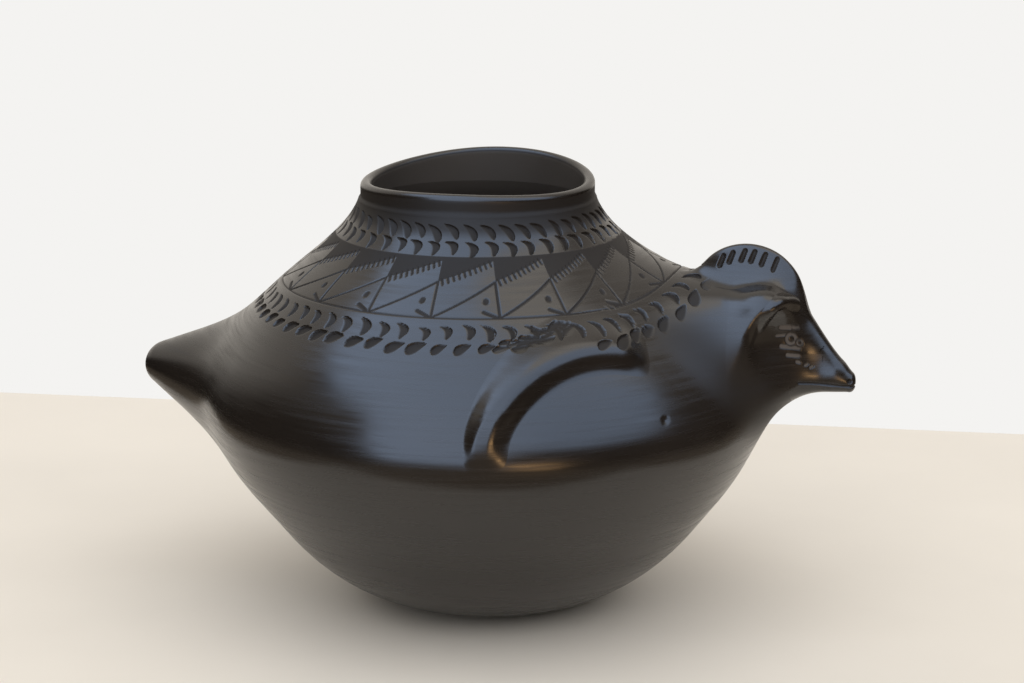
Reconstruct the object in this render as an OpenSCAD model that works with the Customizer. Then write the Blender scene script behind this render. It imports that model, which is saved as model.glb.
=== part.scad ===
// Bird effigy pot, put together from separately formed pieces of clay.
// Millimetres. The origin is the middle of the flat foot, +Z is up and +X points along the beak.

/* [Vessel] */
// Height of the rim above the table, halfway between its high and low places
pot_h = 184.5; // [153:0.5:222]
// Greatest radius of the bowl
belly_r = 119; // [98:1:145]
// Height of the widest part
belly_z = 82; // [68:1:98]
// How softly the lower cone of the bowl runs into the domed shoulder
belly_round = 21; // [14:1:30]
// Radius of the flat foot
foot_flat_r = 22; // [16:1:30]
// Radius at which the lower cone would meet the table
foot_r = 62.5; // [51:0.5:75]
// Height up to which the foot is rounded
foot_round_h = 36; // [28:1:44]
// Outer radius of the neck
neck_r = 49.7; // [41:0.1:60]
// Height of the upright part of the neck
neck_h = 10; // [8:0.5:14]
// How softly the shoulder turns up into the neck
neck_round = 25; // [16:1:32]
// How far the neck sits off centre, towards the tail
neck_lean = 5; // [0:0.5:8]
// Thickness of the clay wall
wall = 5; // [4:0.1:7]

/* [Rings of the wall] */
// Height of the moulded base under the first coil
bowl_h = 48; // [45:1:58]
// Height of the ring with the leaf stamps
leaf_band_h = 14.5; // [11:0.5:18]
// Height of the ring with the incised lines
line_band_h = 21; // [17:0.5:26]
// Height of the collar below the upright part of the neck
collar_drop = 13.5; // [10:0.5:17]
// Height of the rim coil
rim_h = 10.5; // [8:0.5:12.5]
// How far the lip rises at the flanks and falls at head and tail
rim_wave = 1.8; // [0:0.1:2.4]
// How far the lip drops on the right flank and rises on the left
rim_slope = 2.7; // [0:0.1:3.4]

/* [Tail] */
// How far the tail stands out beyond the bowl
tail_out = 39; // [25:1:55]
// Height of the tail's tip above the widest part
tail_rise = 11.5; // [4:0.5:18]
// Radius of the tail at its root
tail_root_r = 46; // [38:1:54]
// Radius of the tail's rounded tip
tail_tip_r = 10; // [7:0.5:13]
// How softly the tail runs into the bowl
tail_blend = 13; // [9:1:18]

/* [Head] */
// How far the middle of the head stands out from the wall
head_out = 6; // [3:0.5:11]
// Height of the head above the widest part of the bowl
head_rise = 36; // [28:1:42]
// Radius of the head
head_r = 27; // [23:0.5:32]
// Radius of the breast that carries the head
breast_r = 31; // [26:0.5:37]
// How softly the breast runs into the bowl
head_blend = 20; // [14:1:28]
// Length of the beak from the middle of the head to its tip
beak_len = 49; // [44:0.5:60]
// Radius of the beak where it leaves the head
beak_root_r = 12; // [10:0.5:15]
// Radius of the beak's tip
beak_tip_r = 4; // [3:0.1:5.5]
// Half-axes of the hollow that holds an eye: forwards, sideways, upwards
socket_size = [25, 21, 23]; // [18:1:28]
// Thickness of the clay in the hollow head and tail
shell = 5; // [3.5:0.1:6]

/* [Crest and brows] */
// Length of the crest
crest_len = 44; // [36:1:52]
// Height of the crest's top above the middle of the head
crest_h = 42.5; // [38:0.5:50]
// Thickness of the crest at its foot
crest_w = 12; // [8:0.5:16]
// Number of notches pressed into each side of the crest
notches = 6; // [3:1:8]
// Depth of those notches
notch_depth = 1.4; // [0.4:0.1:2]
// Radius of the clay roll that makes a brow
brow_r = 2.8; // [2.4:0.1:4]

/* [Wings] */
// Angle from the beak round to the middle of a wing
wing_angle = 48; // [42:1:56]
// Half the length of a wing, as an angle round the bowl
wing_reach = 28.5; // [23:0.5:33]
// Height of the wing's arch above its tip
wing_arch = 41.5; // [34:0.5:46]
// Width of the clay roll that makes a wing
wing_w = 24; // [18:1:30]
// How far the roll stands out from the wall
wing_proud = 5; // [3:0.5:7]

/* [Hidden] */

// Burnished black clay
clay = "#2b2724";
// Points round the wall, round the tail, and round the head and beak
wall_points = 60;
tail_points = 40;
head_points = 40;
// Stride of the search from a hub out to a surface, and the halvings of the last stride
stride = 6;
search_steps = 14;
// Slip joint between an applied piece and what it is pressed onto
slip = 0.3;
// Thickness of the clay at the feathered edge of an applied piece
feather = 1.2;
// Longest distance searched
far = 4 * belly_r;

// Heights of the seams between the rings
neck_z = pot_h - neck_h;
rim_z = pot_h - rim_h;
collar_z = neck_z - collar_drop;
line_z = collar_z - line_band_h;
leaf_z = line_z - leaf_band_h;

// Radius that the lower cone would have at the height of the widest part
edge_r = 1.07 * belly_r;
// The shoulder is a dome: its greatest radius, the height where it starts to close, and how fast it does so.
// At the neck's height it would pass this far inside the neck, and the neck grows out of it softly.
neck_sink = 15.4;
dome_r = belly_r + belly_round / 8;
dome_z = belly_z - 7;
dome_drop = (dome_r - neck_r + neck_sink) / pow(neck_z - dome_z, 2);
// Cosine of the shoulder's mean slope
wall_cos = 1 / sqrt(1 + pow((belly_r - neck_r) / (neck_z - belly_z), 2));

// Lesser or greater of two values with a rounded change-over of width k
function soft_min(a, b, k) = let (h = max(k - abs(a - b), 0)) min(a, b) - h * h / (4 * k);
function soft_max(a, b, k) = -soft_min(-a, -b, k);
function clamp01(t) = min(max(t, 0), 1);
function ease(t) = let (u = clamp01(t)) u * u * (3 - 2 * u);
function mix(a, b, t) = a + (b - a) * t;
function mean(points) = [for (p = points) 1] * points / len(points);
function unit(v) = v / norm(v);

// Shift of the wall's middle towards the tail at a height, and the wall's outer and inner radius there
function lean(z) = -neck_lean * ease((z - bowl_h) / (neck_z - bowl_h));
function foot_cut(z) = (foot_r - foot_flat_r) * pow(max(1 - sqrt(max(z, 0) / foot_round_h), 0), 2);
function lower_cone(z) = mix(foot_r, edge_r, z / belly_z) - foot_cut(z);
function dome(z) = dome_r - dome_drop * pow(max(z - dome_z, 0), 2);
function bowl_r(z) = soft_min(lower_cone(z), dome(z), belly_round);
function wall_r(z) = z < belly_z ? bowl_r(z) : soft_max(bowl_r(z), neck_r, neck_round);
function wall_run(z) = (wall_r(z + 0.05) - wall_r(z - 0.05)) / 0.1;
function inner_r(z) = wall_r(z) - wall * sqrt(1 + pow(wall_run(z), 2));

// Distance fields, negative inside the clay: a capsule with two radii, a cone with round ends, an ellipsoid
// and the wall
function capsule(p, a, b, ra, rb, flat = 1) =
    let (d = b - a, t = clamp01((p - a) * d / (d * d)), q = p - a - t * d)
    norm([q.x, q.y * flat, q.z]) - mix(ra, rb, t);
function cone(p, a, b, ra, rb, flat = 1) =
    let (d = b - a, l = norm(d), s = (ra - rb) / l, lead = s / sqrt(1 - s * s),
         along = (p - a) * d / l, side = p - a - along * d / l,
         t = clamp01((along - lead * norm([side.x, side.y * flat, side.z])) / l), q = p - a - t * d)
    norm([q.x, q.y * flat, q.z]) - mix(ra, rb, t);
function ellipsoid(p, c, r) =
    let (q = [(p.x - c.x) / r.x, (p.y - c.y) / r.y, (p.z - c.z) / r.z], k = max(norm(q), 0.001))
    k * (k - 1) / norm([q.x / r.x, q.y / r.y, q.z / r.z]);
wall_field = function (p) (norm([p.x - lean(p.z), p.y]) - wall_r(p.z)) * wall_cos;

// The tail is a flattened cone on a line that rises outwards from inside the bowl
tail_flat = 0.8;
tail_sink = 48;
tail_foot = [tail_sink - wall_r(belly_z), 0, belly_z + 1.5];
tail_tip = [tail_tip_r - belly_r - tail_out, 0, belly_z + tail_rise];
tail_hub = [-belly_r, 0, mix(belly_z, tail_tip.z, 0.5)];
tail_cone = function (p) cone(p, tail_foot, tail_tip, tail_root_r, tail_tip_r, tail_flat);
tail_field = function (p) soft_min(wall_field(p), tail_cone(p), tail_blend);
tail_core = function (p) tail_cone(p) + shell;

// The head is a breast and skull, a beak and a bridge from the forehead to the beak, scooped out for the eyes
head_flat = 0.93;
head_z = belly_z + head_rise;
head_mid = [wall_r(head_z) + lean(head_z) + head_out, 0, head_z];
breast_mid = head_mid - [38, 0, 2];
beak_foot = head_mid + [16, 0, -8];
beak_tip = head_mid + [beak_len - beak_tip_r, 0, -14];
bridge_top = head_mid + [16, 0, 22];
bridge_end = head_mid + [40, 0, -8];
bridge_r = [6.5, 3.5];
shelf_mid = head_mid + [13, 0, 17];
shelf_end = shelf_mid + [0, 15, 0];
shelf_r = 8.5;
// How softly the beak, the bridge and the brow shelf run into the skull
beak_blend = 14;
bridge_blend = 8;
shelf_blend = 10;
socket_mid = head_mid + [33, 30, 4];
// The socket has a crisp upper edge and runs out softly below
function socket_edge(z) = mix(12, 3, ease((z - head_z + 14) / 20));
skull = function (p)
    let (bulk = capsule(p, breast_mid, head_mid, breast_r, head_r, head_flat),
         beak = capsule(p, beak_foot, beak_tip, beak_root_r, beak_tip_r),
         bridge = capsule(p, bridge_top, bridge_end, bridge_r[0], bridge_r[1]),
         shelf = capsule([p.x, abs(p.y), p.z], shelf_mid, shelf_end, shelf_r, shelf_r))
    soft_min(soft_min(soft_min(bulk, beak, beak_blend), bridge, bridge_blend), shelf, shelf_blend);
scoop = function (p) -ellipsoid([p.x, abs(p.y), p.z], socket_mid, socket_size);
head_field = function (p) soft_max(soft_min(wall_field(p), skull(p), head_blend), scoop(p), socket_edge(p.z));
head_core = function (p) soft_max(skull(p), scoop(p), socket_edge(p.z)) + shell;
// Upright plane in which the beak is joined to the head
beak_seam = mix(beak_foot, beak_tip, 0.25);
// The head's rays leave a line that runs high in it, so that they also reach the brow shelf over the sockets
head_hub = head_mid + [-13, 0, 5];
head_end = [beak_seam.x, 0, head_z + 8];

// Distance along a ray to the first stride that ends above a level of a field
function first_out(field, from, dir, level, t = 0) =
    t > far || field(from + dir * t) > level ? t : first_out(field, from, dir, level, t + stride);

// Distance between two others at which the field passes the level, by halving
function halve(field, from, dir, level, low, high, n = search_steps) =
    let (mid = (low + high) / 2)
    n == 0 ? mid
    : field(from + dir * mid) < level ? halve(field, from, dir, level, mid, high, n - 1)
    : halve(field, from, dir, level, low, mid, n - 1);

// Point along a ray where a field first rises through a level
function cast(field, from, dir, level = 0) =
    let (out = first_out(field, from, dir, level))
    from + dir * halve(field, from, dir, level, max(out - stride, 0), out);

// Direction out of a limb: turned round its axis from straight up, and tilted away from its outward end
function spoke(out, turn, tilt) = [out * cos(tilt), sin(tilt) * sin(turn), sin(tilt) * cos(turn)];

// Tilt at which a limb's surface comes down to a given height over the wall
function root_tilt(field, hub, out, turn, height, low = 15, high = 155, n = 14) =
    let (mid = (low + high) / 2)
    n == 0 ? mid
    : wall_field(cast(field, hub, spoke(out, turn, mid))) > height
      ? root_tilt(field, hub, out, turn, height, mid, high, n - 1)
      : root_tilt(field, hub, out, turn, height, low, mid, n - 1);

function turns(count) = [for (i = [0 : count - 1]) 360 * i / count];

// Rings of a limb from its root to the upright section at its end: the rays move out and swing upright
function limb_rings(field, hub, end, out, height, count, steps, last = 1) =
    let (tilts = [for (turn = turns(count)) root_tilt(field, hub, out, turn, height)])
    [for (i = [0 : steps])
        let (s = last * i / steps)
        [for (j = [0 : count - 1])
            cast(field, mix(hub, end, s), spoke(out, 360 * j / count, mix(tilts[j], 90, s)))]];

// Rings over the rounded end of a limb
function cap_rings(field, end, out, count, steps) =
    [for (i = [1 : steps])
        [for (turn = turns(count)) cast(field, end, spoke(out, turn, 90 - 82 * i / steps))]];

// Point moved level with the table onto the outside of the wall, with room for slip
function on_wall(p) =
    let (mid = lean(p.z), dir = unit([p.x - mid, p.y]), r = wall_r(p.z) + slip / wall_cos)
    [mid + dir.x * r, dir.y * r, p.z];

// Rings of the face that a limb is pressed onto the wall with, from its inner to its outer edge
function seat_rings(inner, outer, steps = 8) =
    [for (i = [0 : steps])
        [for (j = [0 : len(inner) - 1]) on_wall(mix(inner[j], outer[j], i / steps))]];

function flip(list) = [for (i = [len(list) - 1 : -1 : 0]) list[i]];

// Solid through a list of rings with equally many points: closed by its two ends, or a loop
module loft(rings, loop = false) {
    m = len(rings[0]);
    n = len(rings);
    ends = loop ? [] : [mean(rings[0]), mean(rings[n - 1])];
    sides = [for (i = [0 : n - (loop ? 1 : 2)], j = [0 : m - 1])
        let (k = (j + 1) % m, a = i * m, b = (i + 1) % n * m)
        each [[a + j, b + j, b + k], [a + j, b + k, a + k]]];
    lids = loop ? [] : [for (j = [0 : m - 1])
        let (k = (j + 1) % m, b = (n - 1) * m)
        each [[n * m, j, k], [n * m + 1, b + k, b + j]]];
    polyhedron(concat([for (ring = rings) each ring], ends), concat(sides, lids));
}

// Level ring round the leaning middle of the wall
function level_ring(z, r) =
    [for (turn = turns(wall_points)) [lean(z) + r * cos(turn), r * sin(turn), z]];

// Ring of wall between two heights
module wall_ring(low, high, steps) {
    heights = [for (i = [0 : steps]) mix(low, high, i / steps)];
    color(clay)
        loft(concat([for (z = heights) level_ring(z, wall_r(z))],
                    [for (z = flip(heights)) level_ring(z, inner_r(z))]), loop = true);
}

module base_bowl() {
    steps = 16;
    run = wall_run(bowl_h);
    inner_end = bowl_h - wall * run / sqrt(1 + run * run);
    outer = [for (i = [1 : steps]) let (z = bowl_h * pow(i / steps, 2)) [wall_r(z), z]];
    inner = [for (i = [steps : -1 : 1])
        let (z = inner_end * pow(i / steps, 2), k = wall_run(z), c = wall / sqrt(1 + k * k))
        [wall_r(z) - c, z + k * c]];
    color(clay) rotate_extrude($fn = 120)
        polygon(concat([[0, 0], [foot_flat_r, 0]], outer, inner, [[0, wall]]));
}

module belly_wall() {
    wall_ring(bowl_h, belly_z, 4);
}

module shoulder_wall() {
    wall_ring(belly_z, leaf_z, 4);
}

module leaf_band_ring() {
    wall_ring(leaf_z, line_z, 2);
}

module line_band_ring() {
    wall_ring(line_z, collar_z, 3);
}

module neck_collar() {
    wall_ring(collar_z, rim_z, 3);
}

// Last coil: upright sides that end in a half-round lip, which slopes to one side and waves round the mouth
module rim_coil() {
    arc = 6;
    lip_r = wall / 2;
    color(clay)
        loft([for (i = [-1 : arc + 1])
            let (side = 180 * clamp01(i / arc), low = i < 0 || i > arc)
            [for (turn = turns(wall_points))
                let (top = pot_h - rim_wave * cos(2 * turn) + rim_slope * sin(turn) - lip_r,
                     r = neck_r - lip_r + lip_r * cos(side),
                     z = low ? rim_z : top + lip_r * sin(side),
                     edge = low ? (i < 0 ? wall_r(rim_z) : inner_r(rim_z)) : r)
                [lean(z) + edge * cos(turn), edge * sin(turn), z]]], loop = true);
}

module tail() {
    outer = concat(limb_rings(tail_field, tail_hub, tail_tip, -1, feather, tail_points, 8),
                   cap_rings(tail_field, tail_tip, -1, tail_points, 4));
    inner = limb_rings(tail_core, tail_hub, tail_tip, -1, slip, tail_points, 4, last = 0.8);
    color(clay) loft(flip(concat(flip(inner), seat_rings(inner[0], outer[0]), outer)));
}

module head() {
    outer = limb_rings(head_field, head_hub, head_end, 1, feather, head_points, 18);
    inner = limb_rings(head_core, head_hub, head_end, 1, slip, head_points, 5, last = 0.6);
    color(clay) loft(concat(flip(inner), seat_rings(inner[0], outer[0]), outer));
}

module beak() {
    steps = 5;
    body = [for (i = [0 : steps])
        [for (turn = turns(head_points))
            cast(head_field, mix(beak_seam, beak_tip, i / steps), spoke(1, turn, 90))]];
    color(clay) loft(concat(body, cap_rings(head_field, beak_tip, 1, head_points, 3)));
}

// Fin with an oval outline, pressed down onto the head and notched along both sides
module crest() {
    steps = 6 * notches;
    sides = 7;
    foot_mid = [3, 0, 23];
    mid = head_mid + foot_mid;
    rise = crest_h - foot_mid.z;
    // Shares of the half length that are built and that carry notches, and where on a side these are deepest
    built = 0.96;
    notched = 0.75;
    notch_at = 0.75;
    notch_spread = 0.2;
    least_half = 0.5;
    color(clay)
        loft([for (i = [0 : steps])
            let (u = mix(-built, built, i / steps), x = mid.x + u * crest_len / 2, round = sqrt(1 - u * u),
                 wave = sin(90 * (notches + 1) * (u / notched + 1)),
                 notch = abs(u) > notched ? 0 : notch_depth * wave * wave)
            [for (j = [0 : 2 * sides - 1])
                let (over = j <= sides, angle = over ? 90 - 180 * j / sides : 180 * (j - sides) / sides - 90,
                     dent = over ? notch * exp(-pow((cos(angle) - notch_at) / notch_spread, 2)) : 0,
                     y = sin(angle) * max(crest_w / 2 * round - dent, least_half),
                     foot = cast(head_field, [x, y, head_mid.z], [0, 0, 1], level = slip),
                     top = max(mid.z + rise * round * cos(angle), foot.z + feather * cos(angle)))
                [x, y, over ? max(top, foot.z) : foot.z]]]);
}

// Clay roll pressed onto the upper edge of an eye socket; side is 1 for left and -1 for right
module brow(side) {
    steps = 14;
    sides = 10;
    // Ends and bend of the roll, seen from the middle of the head, and how far it stands out of the clay
    route = [[27, 3, 18.5], [17.5, 26, 31], [9, 27.5, 2]];
    lift = 0.3;
    end_r = 0.06;
    color(clay)
        loft([for (i = [0 : steps])
            let (u = i / steps, r = brow_r * sqrt(max(1 - pow(2 * u - 1, 4), end_r)),
                 aim = mix(mix(route[0], route[1], u), mix(route[1], route[2], u), u),
                 ahead = mix(route[1] - route[0], route[2] - route[1], u),
                 n = unit([aim.x, side * aim.y, aim.z]), t = unit([ahead.x, side * ahead.y, ahead.z]),
                 b = unit(cross(n, t)), core = cast(head_field, head_mid, n, level = lift * r))
            [for (j = [0 : sides - 1])
                let (p = core + r * (cos(360 * j / sides) * n + sin(360 * j / sides) * b))
                head_field(p) < slip ? cast(head_field, p, n, level = slip) : p]]);
}

// Clay roll pressed onto the wall along an oval arch; side is 1 for left and -1 for right
module wing(side) {
    steps = 26;
    across = 6;
    // Where the roll starts and ends on the oval, the oval's height, and the roll's width at its ends
    start = -10;
    end = 132;
    mid_z = belly_z + 11;
    end_share = 0.25;
    color(clay)
        loft([for (i = [0 : steps])
            let (u = i / steps, arc = mix(start, end, u), swell = pow(max(sin(180 * u), 0), 0.5))
            [for (j = [0 : 2 * across + 1])
                let (over = j <= across, v = over ? 2 * j / across - 1 : 1 - 2 * (j - across - 1) / across,
                     shift = v * side * wing_w / 2 * mix(end_share, 1, swell),
                     z = mid_z + (wing_arch + shift) * sin(arc),
                     turn = side * (wing_angle + (wing_reach + shift / belly_r * 180 / PI) * cos(arc)),
                     bump = pow(cos(90 * v), 2) * wing_proud * swell,
                     level = over ? slip + feather + bump : slip)
                cast(head_field, [lean(z), 0, z], [cos(turn), sin(turn), 0], level = level)]]);
}

module left_brow() {
    brow(1);
}

module right_brow() {
    brow(-1);
}

module left_wing() {
    wing(1);
}

module right_wing() {
    wing(-1);
}

base_bowl();
belly_wall();
shoulder_wall();
leaf_band_ring();
line_band_ring();
neck_collar();
rim_coil();
tail();
head();
beak();
crest();
left_brow();
right_brow();
left_wing();
right_wing();
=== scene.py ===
"""Looks of a burnished black bird pot, built around its packed construction.

Every piece is a surface worked out with numpy. Lengths are metres and angles are radians.
+X points to the beak and +Z is up.
"""
import math

import bpy
import numpy as np
from bpy.props import FloatProperty, FloatVectorProperty, IntProperty, PointerProperty
from mathutils import Matrix, Vector


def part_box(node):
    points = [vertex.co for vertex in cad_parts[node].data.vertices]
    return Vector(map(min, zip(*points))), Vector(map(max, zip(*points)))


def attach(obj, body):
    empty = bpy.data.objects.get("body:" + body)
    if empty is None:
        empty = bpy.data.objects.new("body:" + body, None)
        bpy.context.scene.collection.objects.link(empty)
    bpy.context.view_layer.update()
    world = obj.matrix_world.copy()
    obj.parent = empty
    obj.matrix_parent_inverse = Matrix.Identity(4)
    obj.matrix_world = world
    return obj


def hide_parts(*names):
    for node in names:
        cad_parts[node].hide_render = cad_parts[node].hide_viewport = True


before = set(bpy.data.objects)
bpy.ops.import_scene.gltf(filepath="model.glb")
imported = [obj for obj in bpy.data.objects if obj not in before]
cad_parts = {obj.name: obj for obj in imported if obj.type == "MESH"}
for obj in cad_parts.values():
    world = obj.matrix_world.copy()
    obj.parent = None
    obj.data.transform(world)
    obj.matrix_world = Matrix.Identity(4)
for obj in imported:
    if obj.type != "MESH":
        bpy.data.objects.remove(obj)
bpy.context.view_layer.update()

bl_info = {
    "name": "Bird effigy pot",
    "version": (1, 0, 0),
    "blender": (4, 5, 0),
    "location": "3D View > Sidebar > Effigy Pot",
    "description": "Burnished black bird pot with stamped and incised bands",
    "category": "Add Mesh",
}

BODY = "root"
MM = 0.001
X, Y, Z = 0, 1, 2
TURN = 2 * math.pi


def low(node, axis):
    """Lowest coordinate of a construction node."""
    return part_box(node)[0][axis]


def high(node, axis):
    """Highest coordinate of a construction node."""
    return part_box(node)[1][axis]


# Vessel, from the frame: heights of the widest part, of the first coil and of the rim
BELLY_Z = high("belly_wall", Z)
BOWL_Z = low("belly_wall", Z)
RIM_Z = low("rim_coil", Z)
RIM_WAVE = 1.8 * MM
RIM_SLOPE = 2.7 * MM
POT_H = high("rim_coil", Z) - RIM_WAVE - RIM_SLOPE

# Vessel, its radii and how its curves run into each other
BELLY_R = 119 * MM
BELLY_ROUND = 21 * MM
FOOT_FLAT_R = 22 * MM
FOOT_R = 62.5 * MM
FOOT_ROUND_H = 36 * MM
NECK_R = 49.7 * MM
NECK_Z = POT_H - 10 * MM
NECK_ROUND = 25 * MM
NECK_LEAN = 5 * MM
NECK_SINK = 15.4 * MM
WALL = 5 * MM
EDGE_R = 1.07 * BELLY_R
DOME_R = BELLY_R + BELLY_ROUND / 8
DOME_Z = BELLY_Z - 7 * MM
DOME_DROP = (DOME_R - NECK_R + NECK_SINK) / (NECK_Z - DOME_Z) ** 2
SHOULDER_COS = math.cos(math.atan((BELLY_R - NECK_R) / (NECK_Z - BELLY_Z)))
POT_MID = np.array([0, 0, BELLY_Z])

# Tail, from its tip in the frame
TAIL_TIP_R = 10 * MM
TAIL_ROOT_R = 46 * MM
TAIL_FLAT = 0.8
TAIL_BLEND = 13 * MM
TAIL_TIP = np.array([low("tail", X) + TAIL_TIP_R, 0, BELLY_Z + 11.5 * MM])
TAIL_FOOT = np.array([48 * MM - BELLY_R, 0, BELLY_Z + 1.5 * MM])
TAIL_HUB = np.array([-BELLY_R, 0, (BELLY_Z + TAIL_TIP[Z]) / 2])

# Head, from the beak's tip in the frame
BEAK_TIP_R = 4 * MM
BEAK_ROOT_R = 12 * MM
HEAD_R = 27 * MM
BREAST_R = 31 * MM
HEAD_FLAT = 0.93
HEAD_BLEND = 20 * MM
BEAK_FRONT = high("beak", X)
HEAD_MID = np.array([BEAK_FRONT - 49 * MM, 0, BELLY_Z + 36 * MM])
HEAD_HUB = HEAD_MID + np.array([-13, 0, 5]) * MM
BREAST_MID = HEAD_MID - np.array([38, 0, 2]) * MM
BEAK_FOOT = HEAD_MID + np.array([16, 0, -8]) * MM
BEAK_TIP = HEAD_MID + np.array([45, 0, -14]) * MM
BEAK_SEAM = BEAK_FOOT + (BEAK_TIP - BEAK_FOOT) * 0.25
BEAK_END = BEAK_TIP + np.array([1.6, 0, -0.3]) * MM
HEAD_END = np.array([BEAK_SEAM[X], 0, HEAD_MID[Z] + 8 * MM])
BRIDGE_TOP = HEAD_MID + np.array([16, 0, 22]) * MM
BRIDGE_END = HEAD_MID + np.array([40, 0, -8]) * MM
SHELF_MID = HEAD_MID + np.array([13, 0, 17]) * MM
SHELF_END = SHELF_MID + np.array([0, 15, 0]) * MM
SHELF_R = 8.5 * MM
SOCKET_MID = HEAD_MID + np.array([33, 30, 4]) * MM
SOCKET_SIZE = np.array([25, 21, 23]) * MM
CREST_MID = HEAD_MID + np.array([3, 0, 23]) * MM
CREST_SIZE = np.array([22 * MM, 6 * MM, high("crest", Z) - CREST_MID[Z]])
BROW_ROUTE = np.array([[27, 3, 18.5], [17.5, 26, 31], [9, 27.5, 2]]) * MM
BROW_R = 2 * MM

# Head, how its parts run into each other; a socket's edge is softer below than above two heights
BEAK_BLEND = 14 * MM
BEAK_TIP_ROUND = 2.5 * MM
BRIDGE_R = (6.5 * MM, 3.5 * MM)
BRIDGE_BLEND = 8 * MM
SHELF_BLEND = 10 * MM
SOCKET_EDGES = (12 * MM, 3 * MM)
SOCKET_EDGE_Z = (HEAD_MID[Z] - 14 * MM, HEAD_MID[Z] + 6 * MM)
CREST_BLEND = 7 * MM
BROW_BLEND = 3 * MM

# Wings: their arch, then the slopes outside and inside it, the shift of its line and the width of its
# crown, each at the tip and over the top
WING_MID_Z = BELLY_Z + 11 * MM
WING_ARCH = 41.5 * MM
WING_TURN = math.radians(48)
WING_REACH = math.radians(28.5)
WING_PROUD = 5 * MM
WING_OUTSIDE = (6 * MM, 11 * MM)
WING_INSIDE = (10 * MM, 12.5 * MM)
WING_SHIFT = (0, 3.5 * MM)
WING_CROWN = (4 * MM, 0)

# Angles along a wing's arch between which it rises from its tip, comes over the top, and sinks at its end
WING_TIP = (math.radians(-12), math.radians(32))
WING_TOP = (0, math.radians(60))
WING_END = (math.radians(104), math.radians(126))

# Finishes beyond 0, polished, and 1, pressed: the unpolished inside, and fresh scrapes
INSIDE = 1.7
SCRAPED = 2.0

# Sheet of the crest: its reach along the fin, its rays' half angle, how closely they lie in the middle, and
# how deep they start
CREST_REACH = (-1.4, 1.35)
CREST_FAN = math.radians(48)
CREST_PACK = 0.35
CREST_START = 14 * MM

# Sheet of a brow: its rays' half angle and how deep they start, the levels of the roll's core where the roll
# is gone and full, its radius where it is gone, the shares of its length between which it rises and sinks
# and over which its sheet narrows at either end, and how narrow the sheet gets
BROW_FAN = math.radians(74)
BROW_START = 1.7 * MM
BROW_CORE = (-3.6 * MM, -0.3 * MM)
BROW_THIN_R = 0.5 * MM
BROW_RISE = (0, 0.12)
BROW_FALL = (0.5, 0.88)
BROW_POINTS = (0.03, 0.1)
BROW_LEAST = 0.02

# Sheet of a wing: its reach along the arch and across it
WING_ALONG = (math.radians(-14), math.radians(132))
WING_ACROSS = (-20 * MM, 14 * MM)

# How the edge of an applied piece dips under what it is pressed onto
EDGE_FADE = 0.08 * MM
EDGE_SINK = 0.3 * MM
EDGE_STEP = 0.8 * MM
SEAT_DEPTH = 1 * MM


def linear(hex_colour):
    """Linear colour of an sRGB hex value."""
    parts = [int(hex_colour[i:i + 2], 16) / 255 for i in (1, 3, 5)]
    return tuple(c / 12.92 if c <= 0.04045 else ((c + 0.055) / 1.055) ** 2.4 for c in parts)


class ClayFinish(bpy.types.PropertyGroup):
    """Colours and polish of the clay."""
    burnished: FloatVectorProperty(
        name="Burnished colour", description="Polished reduction-fired clay", subtype="COLOR",
        default=linear("#1e1a17"))
    pressed: FloatVectorProperty(
        name="Pressed colour", description="Clay in stamped and incised marks", subtype="COLOR",
        default=linear("#231f1c"))
    scraped: FloatVectorProperty(
        name="Scraped colour", description="Bare clay that was scraped or never polished", subtype="COLOR",
        default=linear("#55504c"))
    polish: FloatProperty(
        name="Roughness", description="Roughness of the burnished clay", default=0.2, min=0.05, max=0.8)
    uneven: FloatProperty(
        name="Unevenness", description="Height of the slow waves left by hand building", unit="LENGTH",
        default=0.16 * MM)


class BandPattern(bpy.types.PropertyGroup):
    """Sizes of the stamped and incised bands."""
    shoulder_leaves: IntProperty(
        name="Shoulder leaves", description="Leaf stamps in a shoulder row", default=64)
    neck_leaves: IntProperty(
        name="Neck leaves", description="Leaf stamps in a neck row", default=46)
    leaf_depth: FloatProperty(
        name="Leaf depth", description="Depth of a leaf stamp", unit="LENGTH", default=1.0 * MM)
    units: IntProperty(name="Incised units", description="Triangles round the shoulder", default=19)
    teeth: IntProperty(name="Teeth", description="Teeth on each triangle", default=10)
    line_width: FloatProperty(
        name="Line width", description="Width of an incised line", unit="LENGTH", default=1.0 * MM)
    line_depth: FloatProperty(
        name="Line depth", description="Depth of an incised line", unit="LENGTH", default=0.35 * MM)


class StageLook(bpy.types.PropertyGroup):
    """Camera, floor and light."""
    azimuth: FloatProperty(
        name="Azimuth", description="Camera angle round the pot", subtype="ANGLE",
        default=math.radians(15))
    elevation: FloatProperty(
        name="Elevation", description="Camera angle above the floor", subtype="ANGLE",
        default=math.radians(13))
    distance: FloatProperty(
        name="Distance", description="From the foot to the camera", unit="LENGTH", default=1.15)
    floor: FloatVectorProperty(
        name="Floor", description="Colour of the floor", subtype="COLOR", default=linear("#ebe4d9"))
    sky: FloatVectorProperty(
        name="Sky", description="Colour of the open sky", subtype="COLOR", default=linear("#b8cdec"))
    sky_level: FloatProperty(
        name="Sky level", description="Brightness of the open sky", default=3.0)
    awning: FloatVectorProperty(
        name="Awning", description="Colour of the sunlit awning", subtype="COLOR",
        default=linear("#fff8ee"))
    awning_level: FloatProperty(
        name="Awning level", description="Brightness of the sunlit awning", default=1.9)
    wall: FloatVectorProperty(
        name="Wall", description="Colour of the wall behind the pot", subtype="COLOR",
        default=linear("#f4f3f1"))


# Arithmetic of soft shapes


def mix(a, b, t):
    """Straight passage from a to b as t goes from 0 to 1."""
    return a + (b - a) * t


def ease(t):
    """Smooth passage from 0 to 1: t²(3 - 2t) between 0 and 1."""
    t = np.clip(t, 0, 1)
    return t * t * (3 - 2 * t)


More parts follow.
